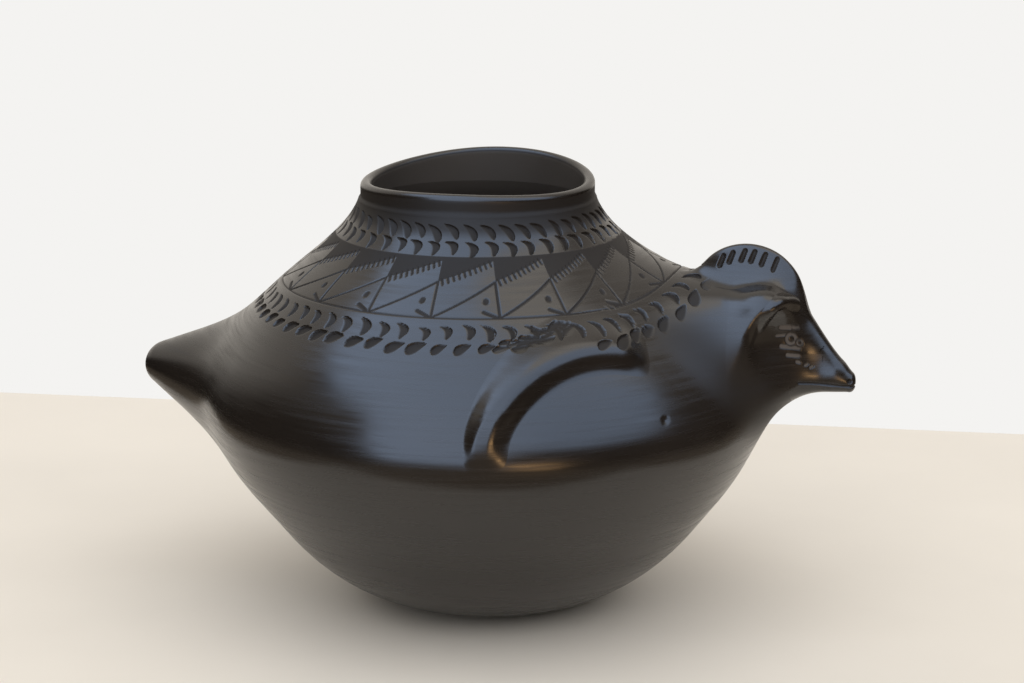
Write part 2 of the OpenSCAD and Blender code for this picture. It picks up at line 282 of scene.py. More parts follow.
def passage(value, start, end):
    """Smooth passage from 0 to 1 as a value goes from start to end."""
    return ease((value - start) / (end - start))


def soft_min(a, b, width):
    """Lesser of a and b, less h²/4width, where h is how far |a - b| falls short of the width."""
    h = np.maximum(width - np.abs(a - b), 0)
    return np.minimum(a, b) - h * h / (4 * width)


def soft_max(a, b, width):
    """Greater of a and b, rounded in the same way."""
    return -soft_min(-a, -b, width)


def even_min(a, b, width):
    """Lesser of a and b, as deep as soft_min but with an even curvature, so that reflections run on.

    It is less by h³/6reach², where reach is 1.5 times the width and h is how far |a - b| falls short of
    reach.
    """
    reach = 1.5 * width
    h = np.maximum(reach - np.abs(a - b), 0)
    return np.minimum(a, b) - h ** 3 / (6 * reach ** 2)


def unit(v):
    """Directions with a length of 1."""
    return v / np.maximum(np.linalg.norm(v, axis=-1, keepdims=True), 1e-12)


def stacked(x, y, z):
    """Points or directions from their three coordinates."""
    return np.stack(np.broadcast_arrays(x, y, z), -1)


def turns(count):
    """Even angles round a full turn."""
    return np.arange(count) * TURN / count


def capsule(p, a, b, radius_a, radius_b, flat=1.0):
    """Distance to the line from a to b, y scaled by flat, less a radius that changes along the line."""
    d = b - a
    t = np.clip((p - a) @ d / (d @ d), 0, 1)
    q = p - a - t[..., None] * d
    return np.sqrt(q[..., X] ** 2 + (q[..., Y] * flat) ** 2 + q[..., Z] ** 2) - mix(radius_a, radius_b, t)


def cone(p, a, b, radius_a, radius_b, flat):
    """Distance to a cone with round ends from a to b, with y scaled by flat.

    The nearest ball on the line lies closer to the wide end than the foot of the perpendicular, by the
    perpendicular's length times the tangent of the cone's half angle.
    """
    d = b - a
    length = np.linalg.norm(d)
    sine = (radius_a - radius_b) / length
    along = (p - a) @ d / length
    aside = p - a - along[..., None] * d / length
    aside = np.linalg.norm(aside * [1, flat, 1], axis=-1)
    t = np.clip((along - aside * sine / math.sqrt(1 - sine * sine)) / length, 0, 1)
    q = (p - a - t[..., None] * d) * [1, flat, 1]
    return np.linalg.norm(q, axis=-1) - mix(radius_a, radius_b, t)


def ellipsoid(p, mid, size):
    """Near distance to an ellipsoid: k - 1 over the slope of k, the scaled distance from its middle."""
    q = (p - mid) / size
    k = np.maximum(np.linalg.norm(q, axis=-1), 1e-6)
    return k * (k - 1) / np.maximum(np.linalg.norm(q / size, axis=-1), 1e-6)


def mirrored(p):
    """Points folded onto the left side."""
    return stacked(p[..., X], np.abs(p[..., Y]), p[..., Z])


# The pot's surfaces as distance fields, negative inside the clay


def wall_shift(z):
    """Shift of the wall's middle towards the tail, easing in from the top of the base to the neck."""
    return -NECK_LEAN * passage(z, BOWL_Z, NECK_Z)


def wall_radius(z):
    """A cone with a rounded foot, joined softly to a dome whose radius falls with the square of the height.

    The dome turns softly up into the neck.
    """
    foot_cut = (FOOT_R - FOOT_FLAT_R) * np.maximum(1 - np.sqrt(np.maximum(z, 0) / FOOT_ROUND_H), 0) ** 2
    lower = mix(FOOT_R, EDGE_R, z / BELLY_Z) - foot_cut
    dome = DOME_R - DOME_DROP * np.maximum(z - DOME_Z, 0) ** 2
    bowl = soft_min(lower, dome, BELLY_ROUND)
    return np.where(z < BELLY_Z, bowl, soft_max(bowl, NECK_R, NECK_ROUND))


def wall_run(z, step=0.05 * MM):
    """Change of the wall's radius with height."""
    return (wall_radius(z + step) - wall_radius(z - step)) / (2 * step)


def slant(z):
    """Length along the wall for each unit of height at a height."""
    return math.sqrt(1 + float(wall_run(np.array(z))) ** 2)


def wall_field(p):
    """Level distance to the wall, times the cosine of the shoulder's slope."""
    r = np.hypot(p[..., X] - wall_shift(p[..., Z]), p[..., Y])
    return (r - wall_radius(p[..., Z])) * SHOULDER_COS


def tail_field(p):
    """Wall and tail cone, evenly joined."""
    limb = cone(p, TAIL_FOOT, TAIL_TIP, TAIL_ROOT_R, TAIL_TIP_R, TAIL_FLAT)
    return even_min(wall_field(p), limb, TAIL_BLEND)


def skull_field(p):
    """Breast, beak, nose bridge and brow shelf softly joined; the beak's tip is cut off square."""
    skull = capsule(p, BREAST_MID, HEAD_MID, BREAST_R, HEAD_R, HEAD_FLAT)
    bill = capsule(p, BEAK_FOOT, BEAK_END, BEAK_ROOT_R, BEAK_TIP_R)
    bill = soft_max(bill, p[..., X] - BEAK_FRONT, BEAK_TIP_ROUND)
    skull = soft_min(skull, bill, BEAK_BLEND)
    skull = soft_min(skull, capsule(p, BRIDGE_TOP, BRIDGE_END, *BRIDGE_R), BRIDGE_BLEND)
    return soft_min(skull, capsule(mirrored(p), SHELF_MID, SHELF_END, SHELF_R, SHELF_R), SHELF_BLEND)


def head_field(p):
    """Wall and skull evenly joined, then scooped out by the two eye sockets."""
    joined = even_min(wall_field(p), skull_field(p), HEAD_BLEND)
    edge = mix(*SOCKET_EDGES, passage(p[..., Z], *SOCKET_EDGE_Z))
    return soft_max(joined, -ellipsoid(mirrored(p), SOCKET_MID, SOCKET_SIZE), edge)


def crest_field(p):
    """Head with the fin, a thin ellipsoid, softly joined to it."""
    return soft_min(head_field(p), ellipsoid(p, CREST_MID, CREST_SIZE), CREST_BLEND)


def cast(field, start, ray, level=0.0, stride=6 * MM, strides=60, halvings=16):
    """Points on rays where the field first rises through a level: stride out until above it, then halve."""
    start, ray, level = np.broadcast_arrays(start, ray, np.asarray(level)[..., None])
    level = level[..., 0]
    reach = np.zeros(level.shape)
    for _ in range(strides):
        inside = field(start + ray * reach[..., None]) <= level
        if not inside.any():
            break
        reach = np.where(inside, reach + stride, reach)
    near = np.maximum(reach - stride, 0)
    for _ in range(halvings):
        middle = (near + reach) / 2
        inside = field(start + ray * middle[..., None]) < level
        near = np.where(inside, middle, near)
        reach = np.where(inside, reach, middle)
    return start + ray * ((near + reach) / 2)[..., None]


def field_normals(field, p, step=0.3 * MM):
    """Unit directions in which a field rises fastest, from its differences over a small step."""
    rise = np.stack([field(p + along) - field(p - along) for along in np.eye(3) * step], -1)
    return unit(rise)


def grid_normals(points, wrap):
    """Unit cross product of the differences along and across a grid, facing away from the pot's middle.

    Wrap closes the second direction.
    """
    along = np.gradient(points, axis=0)
    if wrap:
        across = np.roll(points, -1, axis=1) - np.roll(points, 1, axis=1)
    else:
        across = np.gradient(points, axis=1)
    normal = unit(np.cross(across, along))
    return normal if np.sum(normal * (points - POT_MID)) > 0 else -normal


# Marks in the clay


def stroke(u, v, a, b, width):
    """Share from 0 to 1 of the depth of a round groove from a to b: 1 - (distance/half width)²."""
    d = np.subtract(b, a)
    t = np.clip(((u - a[0]) * d[0] + (v - a[1]) * d[1]) / max(d @ d, 1e-12), 0, 1)
    apart = np.hypot(u - a[0] - t * d[0], v - a[1] - t * d[1])
    return np.clip(1 - (2 * apart / width) ** 2, 0, 1)


# Width of the steep side of a leaf stamp
LEAF_LIP = 0.3 * MM


def leaf(u, v, tip_angle, length, width, bend, steep):
    """Gouge stamp: a teardrop along tip_angle, bowed to the left by bend, cut steeply on one side.

    Its half width is width/2 times 2.6 t sqrt(1 - t) at a share t from its tip to its round end. The depth
    rises evenly across it to the steep side, the left where steep is 1 and the right where it is -1.
    """
    c, s = math.cos(tip_angle), math.sin(tip_angle)
    t = 0.5 - (u * c + v * s) / length
    b = steep * (v * c - u * s - bend * 4 * t * (1 - t))
    inside = np.clip(t, 0, 1)
    half = np.maximum(width / 2 * 2.6 * inside * np.sqrt(1 - inside), 1e-9)
    slope = np.clip((b + half) / (2 * half), 0, 1)
    lip = np.clip((half - b) / LEAF_LIP, 0, 1)
    return np.where((t > 0) & (t < 1), slope * lip, 0)


# Scatter of the leaf stamps in a row: along it, across it, in angle and in size
LEAF_SCATTER = (0.35 * MM, 0.3 * MM, 0.08, 0.06)


def leaf_row(turn, z, count, mid_z, shape, seed, gap=(0, 0)):
    """Leaf stamps round the wall at one height, each a little off in place, angle and size.

    Stamps whose middle lies in the gap between two turns, both below 0, are left out.
    """
    rng = np.random.default_rng(seed)
    radius = float(wall_radius(np.array(mid_z)))
    slope = slant(mid_z)
    off = rng.normal(0, 1, (count, 4)) * LEAF_SCATTER
    tip_angle, length, width, bend, steep = shape
    found = np.zeros(np.broadcast_shapes(turn.shape, z.shape))
    pitch = TURN / count
    for k in range(count):
        if gap[0] < k * pitch - TURN < gap[1]:
            continue
        u = ((turn - k * pitch + math.pi) % TURN - math.pi) * radius - off[k, 0]
        v = (z - mid_z) * slope - off[k, 1]
        near = np.abs(u) < length
        if near.any():
            size = 1 + off[k, 3]
            mark = leaf(u[near], np.broadcast_to(v, u.shape)[near], tip_angle + off[k, 2], length * size,
                        width * size, bend, steep)
            found[near] = np.maximum(found[near], mark)
    return found


# Leaf shapes: angle of the tip, length, width, bow, steep side
CRESCENT = (math.radians(118), 7.6 * MM, 3.7 * MM, -2.5 * MM, -1)
TEARDROP = (math.radians(30), 8.6 * MM, 4.8 * MM, 0.5 * MM, 1)
STROKE_LEAF = (math.radians(130), 9.0 * MM, 3.5 * MM, -1.2 * MM, -1)

# Heights of the leaf rows on the rings that carry them
LEAF_BAND_Z = low("leaf_band_ring", Z)
COLLAR_Z = low("neck_collar", Z)
UPPER_ROW_Z = LEAF_BAND_Z + 10 * MM
LOWER_ROW_Z = LEAF_BAND_Z + 4.8 * MM
NECK_LOW_Z = COLLAR_Z + 2.1 * MM
NECK_HIGH_Z = COLLAR_Z + 8 * MM

# Painted shade under the lip: a dull band that takes the shine off the front of the neck. Heights between
# which it starts, and its mattness
GROOVE_Z = (COLLAR_Z + 4.5 * MM, COLLAR_Z + 9.5 * MM)
NECK_PAINTED_SHADE = 0.85

# Incised zone: heights of its circle, of the triangles' points, and of the foot and top of the dull strip
# over them, and the turn at which the first unit starts
CIRCLE_Z = low("line_band_ring", Z) + 0.3 * MM
POINT_Z = low("line_band_ring", Z) + 12 * MM
STRIP_Z = high("line_band_ring", Z) - 2.2 * MM
TOP_Z = high("line_band_ring", Z) - 0.8 * MM
FIRST_UNIT = math.radians(-68.9)

# Short marks beside each unit's first line, from its foot: two ends, and width in line widths
SHORT_MARKS = (
    ((-1.2 * MM, 0.6 * MM), (-5.2 * MM, 3.2 * MM), 1.8),
    ((-4.4 * MM, 8 * MM), (-4.2 * MM, 9 * MM), 2.4),
)

# Teeth on the triangles: place of the first, in teeth, share of the edge that they take up, reach above and
# below the edge, lean, and width in line widths
TOOTH_START = 0.6
TOOTH_SPREAD = 0.97
TOOTH_ABOVE = 0.6 * MM
TOOTH_BELOW = 2.2 * MM
TOOTH_LEAN = 0.7 * MM
TOOTH_WIDTH = 1.1

# Thick cluster of overlapping marks above the right wing: turn and height of its two ends, number of marks,
# their length and width, their angle, their scatter in height, turn, angle and bow, and the turns between
# which it takes the place of the lower leaves
CLUSTER_ENDS = ((math.radians(-69), LEAF_BAND_Z + 5.4 * MM), (math.radians(-50.5), LEAF_BAND_Z + 12 * MM))
CLUSTER_MARKS = 20
CLUSTER_SIZE = (8 * MM, 3.4 * MM)
CLUSTER_ANGLE = math.radians(20)
CLUSTER_SCATTER = (0.9 * MM, 0.01, 0.25, 0.4 * MM)
CLUSTER_GAP = (math.radians(-70), math.radians(-46))

# Nick in front of a wing: turn, height, width and depth
NICK = (math.radians(36.4), BELLY_Z + 18.5 * MM, 4 * MM, 0.5 * MM)


def incised_zone(turn, z, pattern):
    """Depth and mattness of the lines, dots and toothed triangles, as shares from 0 to 1."""
    pitch = TURN / pattern.units
    radius = float(wall_radius(np.array(POINT_Z)))
    width = pattern.line_width
    slope = slant(POINT_Z)
    v = (z - CIRCLE_Z) * slope
    point_v = (POINT_Z - CIRCLE_Z) * slope
    strip_v = (STRIP_Z - CIRCLE_Z) * slope
    top_v = (TOP_Z - CIRCLE_Z) * slope
    span = pitch * radius
    lines = np.clip(1 - (2 * v / width) ** 2, 0, 1)
    filled = ((v > strip_v) & (v < top_v)).astype(float)
    start = np.floor((turn - FIRST_UNIT) / pitch) * pitch + FIRST_UNIT
    for back in (0, -1, 1):
        u = (turn - start + back * pitch) * radius
        marks = [stroke(u, v, (0, 0), end, width) for end in ((0, point_v), (span, point_v))]
        marks += [stroke(u, v, a, b, wide * width) for a, b, wide in SHORT_MARKS]
        for tooth in range(pattern.teeth):
            share = (tooth + TOOTH_START) / pattern.teeth
            along, edge = share * span * TOOTH_SPREAD, mix(point_v, strip_v, share)
            marks.append(stroke(u, v, (along, edge + TOOTH_ABOVE), (along + TOOTH_LEAN, edge - TOOTH_BELOW),
                                TOOTH_WIDTH * width))
        lines = np.maximum(lines, np.max(marks, axis=0))
        inside = (u > 0) & (u < span) & (v > mix(point_v, strip_v, u / span)) & (v < top_v)
        filled = np.maximum(filled, inside)
    return lines, filled


def wall_marks(turn, z):
    """Depth pressed into the wall and its mattness, with the painted shade under the lip, at an angle and a
    height.
    """
    pattern = bpy.context.scene.band_pattern
    turn, z = np.broadcast_arrays(turn, z)
    depth = np.zeros(turn.shape)
    matte = np.zeros(turn.shape)
    zone = (z > LOWER_ROW_Z - 9 * MM) & (z < NECK_HIGH_Z + 9 * MM)
    if zone.any():
        at = (turn[zone], z[zone])
        leaves = np.max([leaf_row(*at, pattern.shoulder_leaves, UPPER_ROW_Z, CRESCENT, 1),
                         leaf_row(*at, pattern.shoulder_leaves, LOWER_ROW_Z, TEARDROP, 2, CLUSTER_GAP),
                         leaf_row(*at, pattern.neck_leaves, NECK_LOW_Z, CRESCENT, 3),
                         leaf_row(*at, pattern.neck_leaves, NECK_HIGH_Z, STROKE_LEAF, 4)], axis=0)
        tangle = cluster(*at)
        lines, filled = incised_zone(*at, pattern)
        stamped = np.maximum(leaves, tangle) * pattern.leaf_depth
        depth[zone] = np.maximum(stamped, lines * pattern.line_depth)
        matte[zone] = np.max([ease(leaves * 5), ease(tangle * 3 - 1), ease(lines * 2), filled], axis=0)
    # Painted shade: the neck is dulled from the groove's heights up to the lip
    matte = np.maximum(matte, NECK_PAINTED_SHADE * passage(z, *GROOVE_Z))
    nick_turn, nick_z, width, deep = NICK
    nick = stroke((np.abs(turn) - nick_turn) * BELLY_R, z - nick_z, (0, 0), (0, 0), width)
    return np.maximum(depth, nick ** 2 * deep), matte


def cluster(turn, z):
    """Overlapping leaf stamps scattered along the line between the cluster's two ends."""
    rng = np.random.default_rng(5)
    (turn_a, z_a), (turn_b, z_b) = CLUSTER_ENDS
    found = np.zeros(turn.shape)
    for k in range(CLUSTER_MARKS):
        share = (k + 0.5) / CLUSTER_MARKS
        off_z, off_turn, off_angle, bow = rng.normal(0, CLUSTER_SCATTER)
        mid_z = mix(z_a, z_b, share) + off_z
        u = (turn - mix(turn_a, turn_b, share) - off_turn) * float(wall_radius(np.array(mid_z)))
        v = (z - mid_z) * slant(mid_z)
        found = np.maximum(found, leaf(u, v, CLUSTER_ANGLE + off_angle, *CLUSTER_SIZE, bow, 1))
    return found


def slow_waves(p):
    """Unevenness of hand-built clay: the mean of three crossed sine waves 59 to 80 mm long."""
    x, y, z = p[..., X], p[..., Y], p[..., Z]
    waves = (np.sin(TURN * (x * 11 + z * 6) + 1.3) + np.sin(TURN * (y * 13 - x * 5) + 0.4)
             + np.sin(TURN * (z * 15 + y * 7 - x * 4) + 2.1))
    return waves / 3 * bpy.context.scene.clay_finish.uneven


# Where a limb stands out from the wall the bands climb it by this share, and fade out at this distance
BAND_CLIMB = 0.8
BAND_REACH = 14 * MM
BAND_FADE = 6 * MM

# Painted shade in the hollow round the head's root: a dull patch that takes the shine off where shade falls
# between wall and head. Its mattness, how widely it spreads, and the heights between which it ends
HOLLOW_PAINTED_SHADE = 0.7
HOLLOW_SPREAD = 1.3
HOLLOW_TOP = (HEAD_MID[Z] + 8 * MM, HEAD_MID[Z] + 24 * MM)


def hollow(p):
    """Share from 0 to 1 of the painted shade in the hollow between wall and head, near to both, below the
    brow.
    """
    wall, skull = wall_field(p), skull_field(p)
    farthest = np.maximum(np.abs(wall - skull), np.maximum(wall, skull))
    below = 1 - passage(p[..., Z], *HOLLOW_TOP)
    return ease(HOLLOW_SPREAD * (1 - farthest / HEAD_BLEND)) * below


def mark_wall(points, normals, stand_out=0.0):
    """Points with the wall's marks and slow waves pressed in along their normals, and mattness with painted
    shade.
    """
    turn = np.arctan2(points[..., Y], points[..., X] - wall_shift(points[..., Z]))
    stand_out = np.maximum(stand_out, 0)
    depth, matte = wall_marks(turn, points[..., Z] - BAND_CLIMB * stand_out)
    strength = 1 - ease((stand_out - BAND_REACH) / BAND_FADE)
    moved = points + normals * (slow_waves(points) - depth * strength)[..., None]
    # Mattness in the hollow at the head's root is painted shade: it dulls the shine there
    return moved, np.maximum(matte * strength, HOLLOW_PAINTED_SHADE * hollow(points))


# Meshes


def loft(name, node, rings, normals, matte, loop=False):
    """Closed mesh through rings of points, and its place in the frame.

    Each ring is a closed circle. The first and last are joined to each other in a loop, or each is closed
    by a fan to its middle. Faces that would give a negative volume are turned round.
    """
    count, around = rings.shape[:2]
    i, j = np.meshgrid(np.arange(count if loop else count - 1), np.arange(around), indexing="ij")
    after, beside = (i + 1) % count, (j + 1) % around
    quads = np.stack([i * around + j, i * around + beside, after * around + beside, after * around + j], -1)
    quads = quads.reshape(-1, 4)
    points, directions, dull = rings.reshape(-1, 3), normals.reshape(-1, 3), matte.reshape(-1)
    fans = np.zeros((0, 3), int)
    if not loop:
        ends = rings[[0, -1]].mean(axis=1)
        points = np.concatenate([points, ends])
        outward = normals[[0, -1]].mean(axis=1)
        directions = np.concatenate([directions, outward])
        dull = np.concatenate([dull, matte[[0, -1]].mean(axis=1)])
        ring = np.arange(around)
        onward = np.roll(ring, -1)
        first = count * around
        last = first - around
        fans = np.concatenate([stacked(first, onward, ring), stacked(first + 1, last + ring, last + onward)])
    triangles = np.concatenate([quads[:, :3], quads[:, [0, 2, 3]], fans])
    a, b, c = points[triangles].transpose(1, 0, 2)
    if np.einsum("ij,ij->", a, np.cross(b, c)) < 0:
        quads, fans = quads[:, ::-1], fans[:, ::-1]
    mesh = bpy.data.meshes.new(name)
    mesh.from_pydata(points.tolist(), [], quads.tolist() + fans.tolist())
    mesh.shade_smooth()
    mesh.attributes.new("matte", "FLOAT", "POINT").data.foreach_set("value", dull.astype(np.float32))
    mesh.normals_split_custom_set_from_vertices(unit(directions).tolist())
    piece = bpy.data.objects.new(name, mesh)
    bpy.context.scene.collection.objects.link(piece)
    mesh.materials.append(burnished_clay())
    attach(piece, BODY)
    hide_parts(node)
    return piece


def turned(z, radius, columns):
    """Level rings round the leaning middle of the wall, one for each height and radius."""
    turn = turns(columns)
    z, radius = z[:, None], radius[:, None]
    return stacked(wall_shift(z) + radius * np.cos(turn), radius * np.sin(turn), z)


def inner_radius(z):
    """Radius of the inside of the wall, whose thickness is measured square to its slope."""
    return wall_radius(z) - WALL * np.sqrt(1 + wall_run(z) ** 2)


def marked_rings(z, radius, columns):
    """Outer rings with the marks pressed in, their normals and mattness, less one ring at either end."""
    plain = turned(z, radius, columns)
    points, matte = mark_wall(plain, grid_normals(plain, True))
    return points[1:-1], grid_normals(points, True)[1:-1], matte[1:-1]


def wall_ring(node, rows, columns, inner_rows=5):
    """Ring of wall between its node's lowest and highest point: marked outside, plain and matte inside."""
    bottom, top = low(node, Z), high(node, Z)
    z = mix(bottom, top, np.arange(-1, rows + 2) / rows)
    outer, outer_normals, matte = marked_rings(z, wall_radius(z), columns)
    z = mix(top, bottom, np.arange(inner_rows + 1) / inner_rows)
    inner = turned(z, inner_radius(z), columns)
    loft(node + "_clay", node, np.concatenate([outer, inner]),
         np.concatenate([outer_normals, -grid_normals(inner, True)]),
         np.concatenate([matte, np.full(inner.shape[:2], INSIDE)]), loop=True)


# Rings on the flat foot, as shares of its radius
FOOT_RINGS = (0.02, 0.3, 0.6, 0.85, 0.97)


def base_bowl(rows=72, inner_rows=24, columns=480):
    """Round base from the middle of its flat foot up to the first coil, and down again inside."""
    share = np.arange(rows + 2) / rows
    z = BOWL_Z * share ** 2
    radius = np.where(share > 0, wall_radius(z), FOOT_FLAT_R)
    flat = FOOT_FLAT_R * np.array(FOOT_RINGS)
    outer = turned(np.concatenate([0 * flat, z]), np.concatenate([flat, radius]), columns)
    normals = grid_normals(outer, True)
    points = outer + normals * (slow_waves(outer) * ease(outer[..., Z] / BOWL_Z))[..., None]
    points, normals = points[:-1], grid_normals(points, True)[:-1]
    run = float(wall_run(np.array(BOWL_Z)))
    z = (BOWL_Z - WALL * run / math.sqrt(1 + run * run)) * (np.arange(inner_rows, 0, -1) / inner_rows) ** 2
    steep = wall_run(z)
    square = WALL / np.sqrt(1 + steep ** 2)
    inner = turned(z + steep * square, wall_radius(z) - square, columns)
    loft("base_bowl_clay", "base_bowl", np.concatenate([points, inner]),
         np.concatenate([normals, -grid_normals(inner, True)]),
         np.concatenate([np.zeros(points.shape[:2]), np.full(inner.shape[:2], INSIDE)]))


# Share of the rim coil's height over which it turns upright, and of its lip that is polished
RIM_TURN = 0.4
LIP_POLISHED = 0.7


def rim_coil(columns=720, side_rows=10, lip_rows=24):
    """Last coil: upright sides and a half-round lip, which slopes to one side and waves twice round."""
    turn = turns(columns)
    lip = WALL / 2
    top = POT_H - RIM_WAVE * np.cos(2 * turn) + RIM_SLOPE * np.sin(turn) - lip
    up = (np.arange(side_rows + 1) / side_rows)[:, None]
    arc = (np.arange(1, lip_rows) * math.pi / lip_rows)[:, None]
    z = np.concatenate([mix(RIM_Z, top, up), top + lip * np.sin(arc), mix(top, RIM_Z, up)])
    r_side = mix(wall_radius(np.array(RIM_Z)), NECK_R, ease(up / RIM_TURN))
    r_in = mix(NECK_R - WALL, inner_radius(np.array(RIM_Z)), up)
    r = np.concatenate([r_side + 0 * top, NECK_R - lip + lip * np.cos(arc) + 0 * top, r_in + 0 * top])
    plain = stacked(wall_shift(z) + r * np.cos(turn), r * np.sin(turn), z)
    normals = grid_normals(plain, True)
    points = plain + normals * slow_waves(plain)[..., None]
    row = np.arange(len(z))
    inside = INSIDE * passage(row, side_rows + LIP_POLISHED * lip_rows, side_rows + lip_rows)
    # Painted shade: the rim's upright side is dulled like the neck below it
    groove = NECK_PAINTED_SHADE * (1 - passage(row, side_rows - 2, side_rows + 2))
    matte = np.maximum(inside, groove)
    loft("rim_coil_clay", "rim_coil", points, grid_normals(points, True),
         np.broadcast_to(matte[:, None], z.shape), loop=True)


# Limbs

# Power that packs a limb's rings towards its root, and the tilts between which the root is looked for
LIMB_PACK = 1.5
ROOT_TILTS = (math.radians(15), math.radians(155))


def spokes(out, turn, tilt):
    """Unit rays out of a limb: turned round its axis from straight up, tilted from its outward end."""
    return stacked(out * np.cos(tilt), np.sin(tilt) * np.sin(turn), np.sin(tilt) * np.cos(turn))


def root_tilts(field, hub, out, turn, halvings=18):
    """Tilt at which a limb's surface comes down to the wall, found by halving for every turn."""
    near, far = [np.full(turn.shape, tilt) for tilt in ROOT_TILTS]
    for _ in range(halvings):
        middle = (near + far) / 2
        above = wall_field(cast(field, hub, spokes(out, turn, middle))) > EDGE_FADE / 2
        near = np.where(above, middle, near)
        far = np.where(above, far, middle)
    return near


def dip(points, normals, height):
    """Points whose height over the base has faded away dip under it."""
    return points - normals * (EDGE_SINK * np.clip(1 - height / EDGE_FADE, 0, 1))[..., None]


def on_wall(p, depth=0.0):
    """Points moved level with the floor to a depth under the outside of the wall."""
    shift = wall_shift(p[..., Z])
    turn = np.arctan2(p[..., Y], p[..., X] - shift)
    r = wall_radius(p[..., Z]) - depth
    return stacked(shift + r * np.cos(turn), r * np.sin(turn), p[..., Z])


def seat_rings(root, steps=8):
    """Rings from the middle of a root to its edge, under the outside of the wall."""
    share = (np.arange(1, steps + 1) / steps)[:, None, None]
    return on_wall(mix(root.mean(axis=0), root, share), SEAT_DEPTH)


def limb_surface(field, hub, end, out, turn, share):
    """Points of a limb: rays whose start moves from hub to end while they swing from the root to upright.

    A few rings run on over the wall beyond the root.
    """
    share = share[:, None]
    tilt = mix(root_tilts(field, hub, out, turn), math.pi / 2, share)
    rings = cast(field, mix(hub, end, share[..., None]), spokes(out, turn, tilt))
    onward = unit(rings[0] - rings[1])
    beyond = (np.arange(3, 0, -1) * EDGE_STEP)[:, None, None]
    return np.concatenate([on_wall(rings[0] + onward * beyond), rings])


def cap_surface(field, end, out, turn, rows, last=math.radians(3)):
    """Points over the rounded end of a limb: rays from its end that close in on its axis."""
    tilt = mix(math.pi / 2, last, np.arange(1, rows + 1) / rows)[:, None]
    return cast(field, end, spokes(out, turn, tilt))


def tail(columns=320, rows=130, cap_rows=30):
    """Tail cone from under the edge of its root to its rounded tip."""
    turn = turns(columns)
    share = np.linspace(0, 1, rows) ** LIMB_PACK
    plain = np.concatenate([limb_surface(tail_field, TAIL_HUB, TAIL_TIP, -1, turn, share),
                            cap_surface(tail_field, TAIL_TIP, -1, turn, cap_rows)])
    add_limb("tail", plain)


def add_limb(node, plain, extra=0, more_marks=None):
    """Limb piece: marks and waves in its outside, its edge dipped under the wall, its seat closed.

    More marks gives a further depth and mattness, and the extra last rings only serve the normals.
    """
    height = wall_field(plain)
    normals = grid_normals(plain, True)
    points, matte = mark_wall(plain, normals, height)
    if more_marks:
        depth, dull = more_marks(plain)
        points = points - normals * depth[..., None]
        matte = np.maximum(matte, dull)
    normals = grid_normals(points, True)
    points = dip(points, normals, height)
    kept = slice(0, len(points) - extra)
    seat = seat_rings(plain[0])
    loft(node + "_clay", node, np.concatenate([seat, points[kept]]),
         np.concatenate([-grid_normals(seat, True), normals[kept]]),
         np.concatenate([np.zeros(seat.shape[:2]), matte[kept]]))


HEAD_COLUMNS = 400

# Scraped eye marks in the sockets, drawn as they are seen from one direction: their depth, how near to the
# middle and how far back they go, then in millimetres the softness of the rings and the room round them, and,
# to the right of the middle of the head and above it, ends and width of strokes, and middle, outer and inner
# radius of rings
DRAWN_AZIMUTH = math.radians(15)
DRAWN_ELEVATION = math.radians(13)
EYE_DEPTH = 0.2 * MM
EYE_SIDE = 4 * MM
EYE_BACK = HEAD_MID[X] + 12 * MM
EYE_SOFT = 0.5
EYE_CLEAR = 0.4
EYE_STROKES = (
    ((15.4, 6.1), (22.4, 6.1), 2.3),
    ((13.7, 2.6), (17.4, 3.0), 1.2),
    ((15.8, -1.6), (23.2, -2.4), 2.0),
    ((18.4, -5.2), (23.0, -5.6), 1.9),
    ((22.4, -8.0), (23.4, -8.3), 1.6),
    ((26.0, -9.5), (26.8, -9.0), 1.4),
    ((28.2, -10.4), (29.0, -9.9), 1.4),
)
EYE_RINGS = (((19.9, 1.4), 2.6, 1.2), ((23.5, -0.1), 1.5, 0.7))


def drawing_plane(p):
    """Distance to the right of the middle of the head, and above it, of points folded onto one side.

    It is measured as seen from the direction of the drawing, or from its mirror image.
    """
    q = mirrored(p) - HEAD_MID
    near = q[..., Y] * math.cos(DRAWN_AZIMUTH) + q[..., X] * math.sin(DRAWN_AZIMUTH)
    right = q[..., X] * math.cos(DRAWN_AZIMUTH) - q[..., Y] * math.sin(DRAWN_AZIMUTH)
    return right, q[..., Z] * math.cos(DRAWN_ELEVATION) - near * math.sin(DRAWN_ELEVATION)


def eye_marks(p):
    """Depth and mattness of the strokes and rings scraped round the eyes."""
    right, up = drawing_plane(p)
    inside = (np.abs(p[..., Y]) > EYE_SIDE) & (p[..., X] > EYE_BACK)
    found = np.zeros(right.shape)
    for a, b, width in EYE_STROKES:
        groove = stroke(right, up, np.multiply(a, MM), np.multiply(b, MM), width * MM)
        found = np.maximum(found, ease(groove * 2))
    for (across, above), radius, hole in EYE_RINGS:
        apart = np.hypot(right - across * MM, up - above * MM) / MM
        ring = ease((radius - apart) / EYE_SOFT + 0.5) * ease((apart - hole) / EYE_SOFT + 0.5)
        found = np.where(apart < radius + EYE_CLEAR, ring, found)
    found = found * inside
    return found * EYE_DEPTH, found * SCRAPED


def head(rows=226):
    """Head from under the edge of the breast to the upright section where the beak is joined on."""
    turn = turns(HEAD_COLUMNS)
    share = (np.arange(rows + 1) / (rows - 1)) ** LIMB_PACK
    add_limb("head", limb_surface(head_field, HEAD_HUB, HEAD_END, 1, turn, share), 1, eye_marks)


